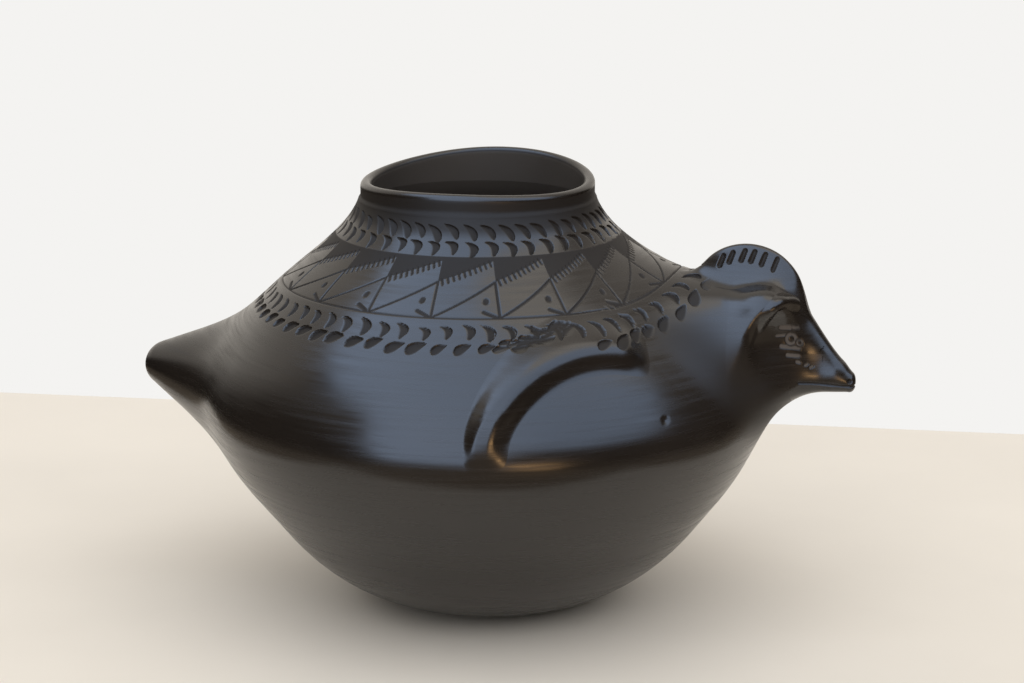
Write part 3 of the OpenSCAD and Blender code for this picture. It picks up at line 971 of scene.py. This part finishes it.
def beak(rows=60, cap_rows=30):
    """Beak from its seam with the head to its blunt tip, with the parting line of the mandibles."""
    turn = turns(HEAD_COLUMNS)
    share = (np.arange(-1, rows + 1) / rows)[:, None]
    start = mix(BEAK_SEAM, BEAK_TIP, share[..., None])
    plain = np.concatenate([cast(head_field, start, spokes(1, turn, math.pi / 2 + 0 * share)),
                            cap_surface(head_field, BEAK_TIP, 1, turn, cap_rows)])
    normals = grid_normals(plain, True)
    depth, dull = np.maximum(beak_marks(plain), eye_marks(plain))
    points = plain + normals * (slow_waves(plain) - depth)[..., None]
    normals = grid_normals(points, True)
    loft("beak_clay", "beak", points[1:], normals[1:], dull[1:])


# Parting line of the mandibles, from the middle of the head: its two ends, along X and Z, and its width,
# then its depth and mattness
PARTING = ((27 * MM, -13.5 * MM), (50 * MM, -15.5 * MM), 1.3 * MM)
PARTING_DEPTH = 0.6 * MM
PARTING_DULL = 0.6
# Nostril in the plane of the eye drawing, and its width and depth
NOSTRIL = (44.5 * MM, -16.2 * MM)
NOSTRIL_WIDTH = 2.4 * MM
NOSTRIL_DEPTH = 1 * MM


def beak_marks(p):
    """Groove between the mandibles along both sides of the beak, and a nostril in each side of its tip."""
    q = p - HEAD_MID
    groove = stroke(q[..., X], q[..., Z], *PARTING)
    right, up = drawing_plane(p)
    hole = stroke(right, up, NOSTRIL, NOSTRIL, NOSTRIL_WIDTH)
    depth = np.maximum(groove * PARTING_DEPTH, hole * NOSTRIL_DEPTH)
    return depth, np.maximum(ease(groove * 2) * PARTING_DULL, ease(hole * 2))


# Applied pieces


def applied(node, plain, under, height, extra_depth=0.0, dull=None):
    """Piece pressed onto another: a sheet dipped at its edges, closed by a sheet under the surface."""
    normals = grid_normals(plain, False)
    points, matte = mark_wall(plain, normals, wall_field(plain) - height)
    if dull is not None:
        points = points - normals * extra_depth[..., None]
        matte = np.maximum(matte, dull)
    normals = grid_normals(points, False)
    points = dip(points, normals, height)
    under = under[:, ::-8]
    loft(node + "_clay", node, np.concatenate([points, under], axis=1),
         np.concatenate([normals, -normals[:, ::-8]], axis=1),
         np.concatenate([matte, np.zeros(under.shape[:2])], axis=1))


# Slots pressed into the crest, from the middle of the head: places along it and heights in millimetres,
# then how far their ends lie along and above their middle, their width and depth, and how far out they start
SLOT_X = (-7.7, -3.7, 1.4, 5.5, 10.0, 15.0)
SLOT_Z = (35.0, 36.6, 37.6, 37.4, 36.4, 34.6)
SLOT_END = np.array([0.7, 2]) * MM
SLOT_WIDTH = 2.2 * MM
SLOT_DEPTH = 0.9 * MM
SLOT_SIDE = 1 * MM


def crest_slots(p):
    """Depth and mattness of the slanting slots in both sides of the crest."""
    q = p - HEAD_MID
    cut = np.zeros(q.shape[:-1])
    for x, z in zip(SLOT_X, SLOT_Z):
        middle = np.array([x, z]) * MM
        groove = stroke(q[..., X], q[..., Z], middle - SLOT_END, middle + SLOT_END, SLOT_WIDTH)
        cut = np.maximum(cut, groove * (np.abs(q[..., Y]) > SLOT_SIDE))
    return cut * SLOT_DEPTH, ease(cut * 2)


def crest(rows=200, columns=240):
    """Fin: rays fanned across from a line inside the head out to the joined field of head and fin."""
    along = np.linspace(*CREST_REACH, rows)[:, None]
    spread = np.linspace(-1, 1, columns)
    fan = CREST_FAN * spread * mix(CREST_PACK, 1, spread ** 2)
    start = CREST_MID + stacked(along * CREST_SIZE[X], 0, -CREST_START)
    ray = stacked(0 * along, np.sin(fan), np.cos(fan))
    plain = cast(crest_field, start, ray)
    depth, dull = crest_slots(plain)
    applied("crest", plain, cast(head_field, start, ray, -SEAT_DEPTH), head_field(plain), depth, dull)


def brow(node, side, rows=120, columns=64):
    """Roll of clay along the upper edge of an eye socket: a tube softly joined to the head along a curve.

    It rises out of the nose and sinks into the temple, and its sheet narrows to a point at both ends.
    """
    u = np.linspace(0, 1, rows)[:, None]
    flip = np.array([1, side, 1])
    a, b, c = BROW_ROUTE * flip
    outward = unit(mix(mix(a, b, u), mix(b, c, u), u))
    swell = passage(u[:, 0], *BROW_RISE) * (1 - passage(u[:, 0], *BROW_FALL))
    radius = mix(BROW_THIN_R, BROW_R, swell)
    core = cast(head_field, HEAD_MID, outward, mix(*BROW_CORE, swell))

    def field(p):
        """Head with the tube, a chain of capsules, softly joined to it."""
        tube = np.full(p.shape[:-1], 1.0)
        for k in range(0, rows - 4, 4):
            tube = np.minimum(tube, capsule(p, core[k], core[k + 4], radius[k], radius[k + 4]))
        return soft_min(head_field(p), tube, BROW_BLEND)

    skin = cast(head_field, HEAD_MID, outward)
    square = field_normals(head_field, skin)
    across = unit(np.cross(square, np.gradient(skin, axis=0)))
    spread = np.clip(np.minimum(u / BROW_POINTS[0], (1 - u) / BROW_POINTS[1]), BROW_LEAST, 1)
    fan = (spread * np.linspace(-1, 1, columns) * BROW_FAN)[..., None]
    ray = np.cos(fan) * square[:, None] + np.sin(fan) * across[:, None]
    start = (skin - square * BROW_START)[:, None]
    plain = cast(field, start, ray, stride=1 * MM)
    applied(node, plain, cast(head_field, start, ray, -SEAT_DEPTH, stride=1 * MM), head_field(plain))


def wing(node, side, rows=260, columns=168):
    """Wing: a ridge raised on the wall along an oval arch, with a flat crown and cosine slopes."""
    arc = np.linspace(*WING_ALONG, rows)[:, None]
    offset = np.linspace(*WING_ACROSS, columns)
    z = WING_MID_Z + (WING_ARCH + offset) * np.sin(arc)
    turn = side * (WING_TURN + (WING_REACH + offset / BELLY_R) * np.cos(arc))
    height = WING_PROUD * passage(arc, *WING_TIP) * (1 - passage(arc, *WING_END))
    over_top = passage(arc, *WING_TOP)
    outside = mix(*WING_OUTSIDE, over_top)
    inside = mix(*WING_INSIDE, over_top)
    beside = offset + mix(*WING_SHIFT, over_top)
    crown = mix(*WING_CROWN, over_top)
    reach = np.clip(np.where(beside > 0, beside / outside, -(beside + crown) / inside), 0, 1)
    raised = height * np.cos(reach * math.pi / 2) ** 2
    start = stacked(wall_shift(z), 0, z)
    ray = stacked(np.cos(turn), np.sin(turn), 0)
    plain = cast(head_field, start, ray, raised)
    applied(node, plain, cast(head_field, start, ray, -SEAT_DEPTH), raised)


# Materials


# Sizes of the patterns in the finishes: burnishing strokes, fire clouds, grit, and clouds in the limewash
STROKE_LONG = 40 * MM
STROKE_HIGH = 1.538 * MM
CLOUD_WIDE = 58.8 * MM
GRIT_WIDE = 0.588 * MM
WASH_CLOUD_WIDE = 111 * MM


def add_node(tree, kind, settings=None, inputs=None, stops=()):
    """Add a shader node and set its settings and inputs; an input given as a socket is linked.

    A colour ramp also gets its stops: places from 0 to 1, the first at 0 and the last at 1, and colours.
    """
    made = tree.nodes.new(kind)
    for key, value in (settings or {}).items():
        setattr(made, key, value)
    for key, value in (inputs or {}).items():
        if isinstance(value, bpy.types.NodeSocket):
            tree.links.new(value, made.inputs[key])
        else:
            made.inputs[key].default_value = value
    for place, _ in stops[1:-1]:
        made.color_ramp.elements.new(place)
    for k, (_, colour) in enumerate(stops):
        made.color_ramp.elements[k].color = (*colour, 1)
    return made


def add_layers(tree, lowest, layers):
    """Lowest colour with others laid over it in turn, each by its own share from 0 to 1."""
    shown = (*lowest, 1) if isinstance(lowest, tuple) else lowest
    for share, colour in layers:
        over = (*colour, 1) if isinstance(colour, tuple) else colour
        shown = add_node(tree, "ShaderNodeMix", {"data_type": "RGBA"}, {
            "Factor": share, "A": shown, "B": over}).outputs["Result"]
    return shown


def new_material(name):
    """Empty node material and its tree."""
    material = bpy.data.materials.new(name)
    material.use_nodes = True
    material.node_tree.nodes.clear()
    return material, material.node_tree


def burnished_clay():
    """Earthenware rubbed with a stone while leather-hard and fired black: a soft gloss in level streaks.

    The piece's own attribute runs from 0, polished, over 1, pressed and dull, to 2, scraped bare and grey;
    its dull shares also carry painted shade at the head's root and under the lip.
    """
    name = "burnished_black_earthenware"
    if name in bpy.data.materials:
        return bpy.data.materials[name]
    finish = bpy.context.scene.clay_finish
    material, tree = new_material(name)
    place = add_node(tree, "ShaderNodeTexCoord").outputs["Object"]
    # Burnishing strokes: long level streaks
    strokes_at = add_node(tree, "ShaderNodeMapping", None, {
        "Vector": place, "Scale": (1 / STROKE_LONG, 1 / STROKE_LONG, 1 / STROKE_HIGH)}).outputs[0]
    strokes = add_node(tree, "ShaderNodeTexNoise", None, {
        "Vector": strokes_at, "Scale": 1.0, "Detail": 3.0, "Roughness": 0.6}).outputs["Fac"]
    # Fire clouds: soft lighter and darker patches
    clouds = add_node(tree, "ShaderNodeTexNoise", None, {
        "Vector": place, "Scale": 1 / CLOUD_WIDE, "Detail": 2.0}).outputs["Fac"]
    tone = add_node(tree, "ShaderNodeMapRange", None, {
        "Value": clouds, "From Min": 0.3, "From Max": 0.7, "To Min": 0.75, "To Max": 1.25}).outputs[0]
    # Grit of the bare clay
    grit = add_node(tree, "ShaderNodeTexNoise", None, {
        "Vector": place, "Scale": 1 / GRIT_WIDE, "Detail": 2.0}).outputs["Fac"]
    matte = add_node(tree, "ShaderNodeAttribute", {"attribute_name": "matte"}).outputs["Fac"]
    pressed = add_node(tree, "ShaderNodeClamp", None, {"Value": matte}).outputs[0]
    bared = add_node(tree, "ShaderNodeMapRange", None, {
        "Value": matte, "From Min": 1.0, "From Max": SCRAPED}).outputs[0]
    # The polish varies from stroke to stroke, and unpolished clay is dull
    polish = add_node(tree, "ShaderNodeMapRange", None, {
        "Value": strokes, "From Min": 0.3, "From Max": 0.75, "To Min": finish.polish - 0.04,
        "To Max": finish.polish + 0.14}).outputs[0]
    rough = add_node(tree, "ShaderNodeMix", None, {
        "Factor": pressed, "A": polish, "B": 0.6}).outputs["Result"]
    # Pores of unpolished clay swallow most of its shine
    shine = add_node(tree, "ShaderNodeMix", None, {"Factor": pressed, "A": 0.5, "B": 0.2}).outputs["Result"]
    plain = add_layers(tree, tuple(finish.burnished), (
        (pressed, tuple(finish.pressed)), (bared, tuple(finish.scraped))))
    colour = add_node(tree, "ShaderNodeVectorMath", {"operation": "SCALE"}, {
        0: plain, "Scale": tone}).outputs[0]
    relief = add_node(tree, "ShaderNodeMix", None, {
        "Factor": pressed, "A": strokes, "B": grit}).outputs["Result"]
    bump = add_node(tree, "ShaderNodeBump", None, {
        "Height": relief, "Strength": 0.2, "Distance": 0.05 * MM}).outputs["Normal"]
    shader = add_node(tree, "ShaderNodeBsdfPrincipled", None, {
        "Base Color": colour, "Roughness": rough, "Normal": bump, "IOR": 1.6, "Specular IOR Level": shine})
    add_node(tree, "ShaderNodeOutputMaterial", None, {"Surface": shader.outputs[0]})
    return material


def limewashed_floor():
    """Plain boards under limewash: pale, warm and dull, with a faint cloudiness."""
    material, tree = new_material("limewashed_floor")
    colour = bpy.context.scene.stage_look.floor
    place = add_node(tree, "ShaderNodeTexCoord").outputs["Object"]
    clouds = add_node(tree, "ShaderNodeTexNoise", None, {
        "Vector": place, "Scale": 1 / WASH_CLOUD_WIDE, "Detail": 4.0}).outputs["Fac"]
    tone = add_node(tree, "ShaderNodeMapRange", None, {
        "Value": clouds, "To Min": 0.93, "To Max": 1.05}).outputs[0]
    tinted = add_node(tree, "ShaderNodeVectorMath", {"operation": "SCALE"}, {
        0: tuple(colour), "Scale": tone}).outputs[0]
    shader = add_node(tree, "ShaderNodeBsdfPrincipled", None, {"Base Color": tinted, "Roughness": 0.6})
    add_node(tree, "ShaderNodeOutputMaterial", None, {"Surface": shader.outputs[0]})
    return material


# Stage

IMAGE_SIZE = (1024, 683)
FOOT_PIXEL = (490, 590)
PIXELS_PER_MM = 2.28
SENSOR = 36.0
# Board under the pot: corners to the camera's right and away from it, and thickness
BOARD = ((-0.225, -0.2), (0.235, -0.2), (0.31, 0.259), (-0.31, 0.36))
BOARD_THICK = 0.03


def camera_axes(look):
    """Right, up and back directions of the camera."""
    a, e = look.azimuth, look.elevation
    back = Vector((math.sin(a) * math.cos(e), -math.cos(a) * math.cos(e), math.sin(e)))
    right = Vector((math.cos(a), math.sin(a), 0))
    return right, back.cross(right), back


def add_camera(look):
    """Camera that shows the foot at its pixel, at the photograph's scale."""
    right, up, back = camera_axes(look)
    focal = PIXELS_PER_MM / MM * look.distance
    aside = (FOOT_PIXEL[0] - IMAGE_SIZE[0] / 2) / focal * look.distance
    above = (IMAGE_SIZE[1] / 2 - FOOT_PIXEL[1]) / focal * look.distance
    data = bpy.data.cameras.new("photo_camera")
    data.sensor_width = SENSOR
    data.lens = focal * SENSOR / IMAGE_SIZE[0]
    camera = bpy.data.objects.new("photo_camera", data)
    turned_axes = Matrix((right, up, back)).transposed().to_4x4()
    place = back * look.distance - right * aside - up * above
    camera.matrix_world = Matrix.Translation(place) @ turned_axes
    bpy.context.scene.collection.objects.link(camera)
    bpy.context.scene.camera = camera


def add_lamp(name, look, azimuth, elevation, distance, size, colour, radiance):
    """Rectangular lamp that faces the belly, at angles in degrees from the camera's side and from level.

    Its power is radiance · area · pi.
    """
    a, e = look.azimuth + math.radians(azimuth), math.radians(elevation)
    aim = Vector((0, 0, BELLY_Z))
    back = Vector((math.sin(a) * math.cos(e), -math.cos(a) * math.cos(e), math.sin(e)))
    data = bpy.data.lights.new(name, "AREA")
    data.shape = "RECTANGLE"
    data.size, data.size_y = size
    data.color = colour
    data.energy = radiance * size[0] * size[1] * math.pi
    lamp = bpy.data.objects.new(name, data)
    turned_back = back.to_track_quat("Z", "Y").to_matrix().to_4x4()
    lamp.matrix_world = Matrix.Translation(aim + back * distance) @ turned_back
    lamp.visible_camera = False
    bpy.context.scene.collection.objects.link(lamp)


def add_floor():
    """Level board: the camera sees its far edge, and the others lie outside the picture."""
    right, _, back = camera_axes(bpy.context.scene.stage_look)
    away = -Vector((back.x, back.y, 0)).normalized()
    top = [right * aside + away * off for aside, off in BOARD]
    corners = top + [corner - Vector((0, 0, BOARD_THICK)) for corner in top]
    sides = [(i, i + 4, (i + 1) % 4 + 4, (i + 1) % 4) for i in range(4)]
    mesh = bpy.data.meshes.new("board")
    mesh.from_pydata([tuple(c) for c in corners], [], [(0, 1, 2, 3), (7, 6, 5, 4), *sides])
    mesh.materials.append(limewashed_floor())
    floor = bpy.data.objects.new("board", mesh)
    bpy.context.scene.collection.objects.link(floor)


# Surroundings of a courtyard, by the angle from the camera's side: where the open sky starts, where a
# sunlit awning covers it, the colour of the walls below it, how high the dark hedge in front of them
# reaches, and its colour
SKYLINE = ((-180, 80), (-140, 78), (-122, 54), (-100, 44), (-54, 36), (-42, -5), (-2, -5), (10, 22),
           (80, 22), (95, 40), (120, 66), (140, 78), (180, 80))
AWNING = ((-180, 89), (14, 89), (50, 72), (82, 58), (94, 40), (110, 36), (180, 30))
WALLS = ((-180, "#ebe4da"), (-140, "#e4ddd3"), (-112, "#d8d0c6"), (-90, "#8f8880"), (90, "#8f8880"),
         (112, "#a8a098"), (140, "#d8d0c6"), (180, "#ebe4da"))
HEDGE_TOP = ((-180, -28), (-160, -5), (-140, 3), (-120, 13), (-100, 24), (-56, 26), (-44, -9), (0, -9),
             (12, 16), (80, 22), (100, 30), (120, 26), (140, 4), (160, -20), (180, -28))
HEDGE = ((-180, "#1c1814"), (-60, "#2a2520"), (-20, "#8a8078"), (12, "#8a8078"), (28, "#554b43"),
         (80, "#554b43"), (110, "#2e2822"), (180, "#2a2520"))
SKYLINE_LOW, SKYLINE_HIGH = math.radians(-30), math.radians(90)

# Softness of the outlines, as shares of the range of elevations
SKYLINE_SOFT = 0.03
AWNING_SOFT = 0.05
HEDGE_SOFT = 0.06

# Ground beyond the board, and the angles between which it takes over from the hedge
GROUND = "#8f8272"
GROUND_EDGE = (math.radians(-10), math.radians(-18))

# The sky's brightness on the left, on the right, and as it lights what is not shiny, and how far to either
# side it changes
SKY_LEFT = 1.25
SKY_RIGHT = 0.9
SKY_LIGHT = 0.78
SKY_CHANGE = 0.6


def ramp_stops(table, colour_of):
    """Stops of a colour ramp over the full turn, from angles in degrees and what gives their colours."""
    return [(angle / 360 + 0.5, colour_of(value)) for angle, value in table]


def rise_grey(elevation):
    """Grey as light as an elevation in degrees is high in the range of elevations."""
    return [(math.radians(elevation) - SKYLINE_LOW) / (SKYLINE_HIGH - SKYLINE_LOW)] * 3


def add_edge(tree, round_share, rise_share, tops, softness):
    """Share from 0 to 1 of being above an outline, from stops of an angle and an elevation in degrees."""
    top = add_node(tree, "ShaderNodeValToRGB", None, {"Fac": round_share}, ramp_stops(tops, rise_grey))
    over = add_node(tree, "ShaderNodeMath", {"operation": "SUBTRACT"}, {
        0: rise_share, 1: top.outputs["Color"]}).outputs[0]
    return add_node(tree, "ShaderNodeMapRange", {"interpolation_type": "SMOOTHSTEP"}, {
        "Value": over, "From Min": -softness, "From Max": softness}).outputs[0]


def add_surroundings(look):
    """World: open sky and an awning over pale walls and a dark hedge, with brown ground below.

    The camera itself sees only the colour of the wall behind the pot. The sky's blue shows only in shine.
    """
    world = bpy.data.worlds.new("courtyard")
    bpy.context.scene.world = world
    world.use_nodes = True
    tree = world.node_tree
    tree.nodes.clear()
    place = add_node(tree, "ShaderNodeTexCoord").outputs["Generated"]
    facing = add_node(tree, "ShaderNodeVectorRotate", {"rotation_type": "Z_AXIS"}, {
        "Vector": place, "Angle": math.pi / 2 - look.azimuth}).outputs[0]
    axes = add_node(tree, "ShaderNodeSeparateXYZ", None, {0: facing})
    angle = add_node(tree, "ShaderNodeMath", {"operation": "ARCTAN2"}, {
        0: axes.outputs["Y"], 1: axes.outputs["X"]}).outputs[0]
    round_share = add_node(tree, "ShaderNodeMapRange", None, {
        "Value": angle, "From Min": -math.pi, "From Max": math.pi}).outputs[0]
    rise = add_node(tree, "ShaderNodeMath", {"operation": "ARCSINE"}, {0: axes.outputs["Z"]}).outputs[0]
    rise_share = add_node(tree, "ShaderNodeMapRange", None, {
        "Value": rise, "From Min": SKYLINE_LOW, "From Max": SKYLINE_HIGH}).outputs[0]
    is_ground = add_node(tree, "ShaderNodeMapRange", {"interpolation_type": "SMOOTHSTEP"}, {
        "Value": rise, "From Min": GROUND_EDGE[0], "From Max": GROUND_EDGE[1]}).outputs[0]
    to_right = add_node(tree, "ShaderNodeMapRange", None, {
        "Value": axes.outputs["Y"], "From Min": -SKY_CHANGE, "From Max": SKY_CHANGE}).outputs[0]
    rays = add_node(tree, "ShaderNodeLightPath")
    hedge, walls = [add_node(tree, "ShaderNodeValToRGB", None, {"Fac": round_share},
                             ramp_stops(table, linear)).outputs["Color"] for table in (HEDGE, WALLS)]
    left, right = [tuple(c * look.sky_level * side for c in look.sky) for side in (SKY_LEFT, SKY_RIGHT)]
    covered = add_layers(tree, left, (
        (to_right, right),
        (add_edge(tree, round_share, rise_share, AWNING, AWNING_SOFT),
         tuple(c * look.awning_level for c in look.awning))))
    shade = sum(look.sky) / 3 * look.sky_level * SKY_LIGHT
    sky = add_layers(tree, (shade, shade, shade), ((rays.outputs["Is Glossy Ray"], covered),))
    seen = add_layers(tree, hedge, (
        (is_ground, linear(GROUND)),
        (add_edge(tree, round_share, rise_share, HEDGE_TOP, HEDGE_SOFT), walls),
        (add_edge(tree, round_share, rise_share, SKYLINE, SKYLINE_SOFT), sky),
        (rays.outputs["Is Camera Ray"], tuple(look.wall))))
    shader = add_node(tree, "ShaderNodeBackground", None, {"Color": seen, "Strength": 1.0})
    add_node(tree, "ShaderNodeOutputWorld", None, {"Surface": shader.outputs[0]})


# Operators


class EFFIGY_OT_stage(bpy.types.Operator):
    """Camera, floor, lamp and surroundings"""
    bl_idname = "effigy.stage"
    bl_label = "Stage"

    def execute(self, context):
        look = context.scene.stage_look
        context.scene.view_settings.view_transform = "Standard"
        add_camera(look)
        add_floor()
        add_surroundings(look)
        add_lamp("sunlit_ground", look, azimuth=18, elevation=-7, distance=1.6, size=(0.55, 0.12),
                 colour=linear("#ffc98a"), radiance=9)
        return {"FINISHED"}


class EFFIGY_OT_wall(bpy.types.Operator):
    """Base bowl and the rings of the wall"""
    bl_idname = "effigy.wall"
    bl_label = "Base and wall rings"

    def execute(self, context):
        base_bowl()
        wall_ring("belly_wall", 40, 600)
        wall_ring("shoulder_wall", 64, 600)
        wall_ring("leaf_band_ring", 46, 1500)
        wall_ring("line_band_ring", 70, 1280)
        wall_ring("neck_collar", 64, 1200)
        return {"FINISHED"}


class EFFIGY_OT_rim(bpy.types.Operator):
    """Rim coil with its waving lip"""
    bl_idname = "effigy.rim"
    bl_label = "Rim coil"

    def execute(self, context):
        rim_coil()
        return {"FINISHED"}


class EFFIGY_OT_tail(bpy.types.Operator):
    """Tail cone"""
    bl_idname = "effigy.tail"
    bl_label = "Tail"

    def execute(self, context):
        tail()
        return {"FINISHED"}


class EFFIGY_OT_head(bpy.types.Operator):
    """Head with breast and eye sockets"""
    bl_idname = "effigy.head"
    bl_label = "Head"

    def execute(self, context):
        head()
        return {"FINISHED"}


class EFFIGY_OT_beak(bpy.types.Operator):
    """Beak with its parting line"""
    bl_idname = "effigy.beak"
    bl_label = "Beak"

    def execute(self, context):
        beak()
        return {"FINISHED"}


class EFFIGY_OT_crest(bpy.types.Operator):
    """Crest with its slots"""
    bl_idname = "effigy.crest"
    bl_label = "Crest"

    def execute(self, context):
        crest()
        return {"FINISHED"}


class EFFIGY_OT_brows(bpy.types.Operator):
    """The two brow rolls"""
    bl_idname = "effigy.brows"
    bl_label = "Brows"

    def execute(self, context):
        brow("left_brow", 1)
        brow("right_brow", -1)
        return {"FINISHED"}


class EFFIGY_OT_wings(bpy.types.Operator):
    """The two wings in relief"""
    bl_idname = "effigy.wings"
    bl_label = "Wings"

    def execute(self, context):
        wing("left_wing", 1)
        wing("right_wing", -1)
        return {"FINISHED"}


GROUPS = {"clay_finish": ClayFinish, "band_pattern": BandPattern, "stage_look": StageLook}
OPERATORS = (EFFIGY_OT_stage, EFFIGY_OT_wall, EFFIGY_OT_rim, EFFIGY_OT_tail, EFFIGY_OT_head, EFFIGY_OT_beak,
             EFFIGY_OT_crest, EFFIGY_OT_brows, EFFIGY_OT_wings)


class EFFIGY_PT_panel(bpy.types.Panel):
    """Lists the pieces of the pot and the stage"""
    bl_idname = "EFFIGY_PT_panel"
    bl_label = "Effigy Pot"
    bl_space_type = "VIEW_3D"
    bl_region_type = "UI"
    bl_category = "Effigy Pot"

    def draw(self, context):
        for operator in OPERATORS:
            self.layout.operator(operator.bl_idname)
        for name, group in GROUPS.items():
            box = self.layout.box()
            for key in group.__annotations__:
                box.prop(getattr(context.scene, name), key)


def register():
    """Register the property groups, operators and panel."""
    for name, group in GROUPS.items():
        bpy.utils.register_class(group)
        setattr(bpy.types.Scene, name, PointerProperty(type=group))
    for cls in (*OPERATORS, EFFIGY_PT_panel):
        bpy.utils.register_class(cls)


def unregister():
    """Undo register."""
    for cls in (EFFIGY_PT_panel, *reversed(OPERATORS)):
        bpy.utils.unregister_class(cls)
    for name, group in GROUPS.items():
        delattr(bpy.types.Scene, name)
        bpy.utils.unregister_class(group)


def main():
    """Build the stage and every piece."""
    register()
    bpy.ops.effigy.stage()
    bpy.ops.effigy.wall()
    bpy.ops.effigy.rim()
    bpy.ops.effigy.tail()
    bpy.ops.effigy.head()
    bpy.ops.effigy.beak()
    bpy.ops.effigy.crest()
    bpy.ops.effigy.brows()
    bpy.ops.effigy.wings()


if __name__ == "__main__":
    main()
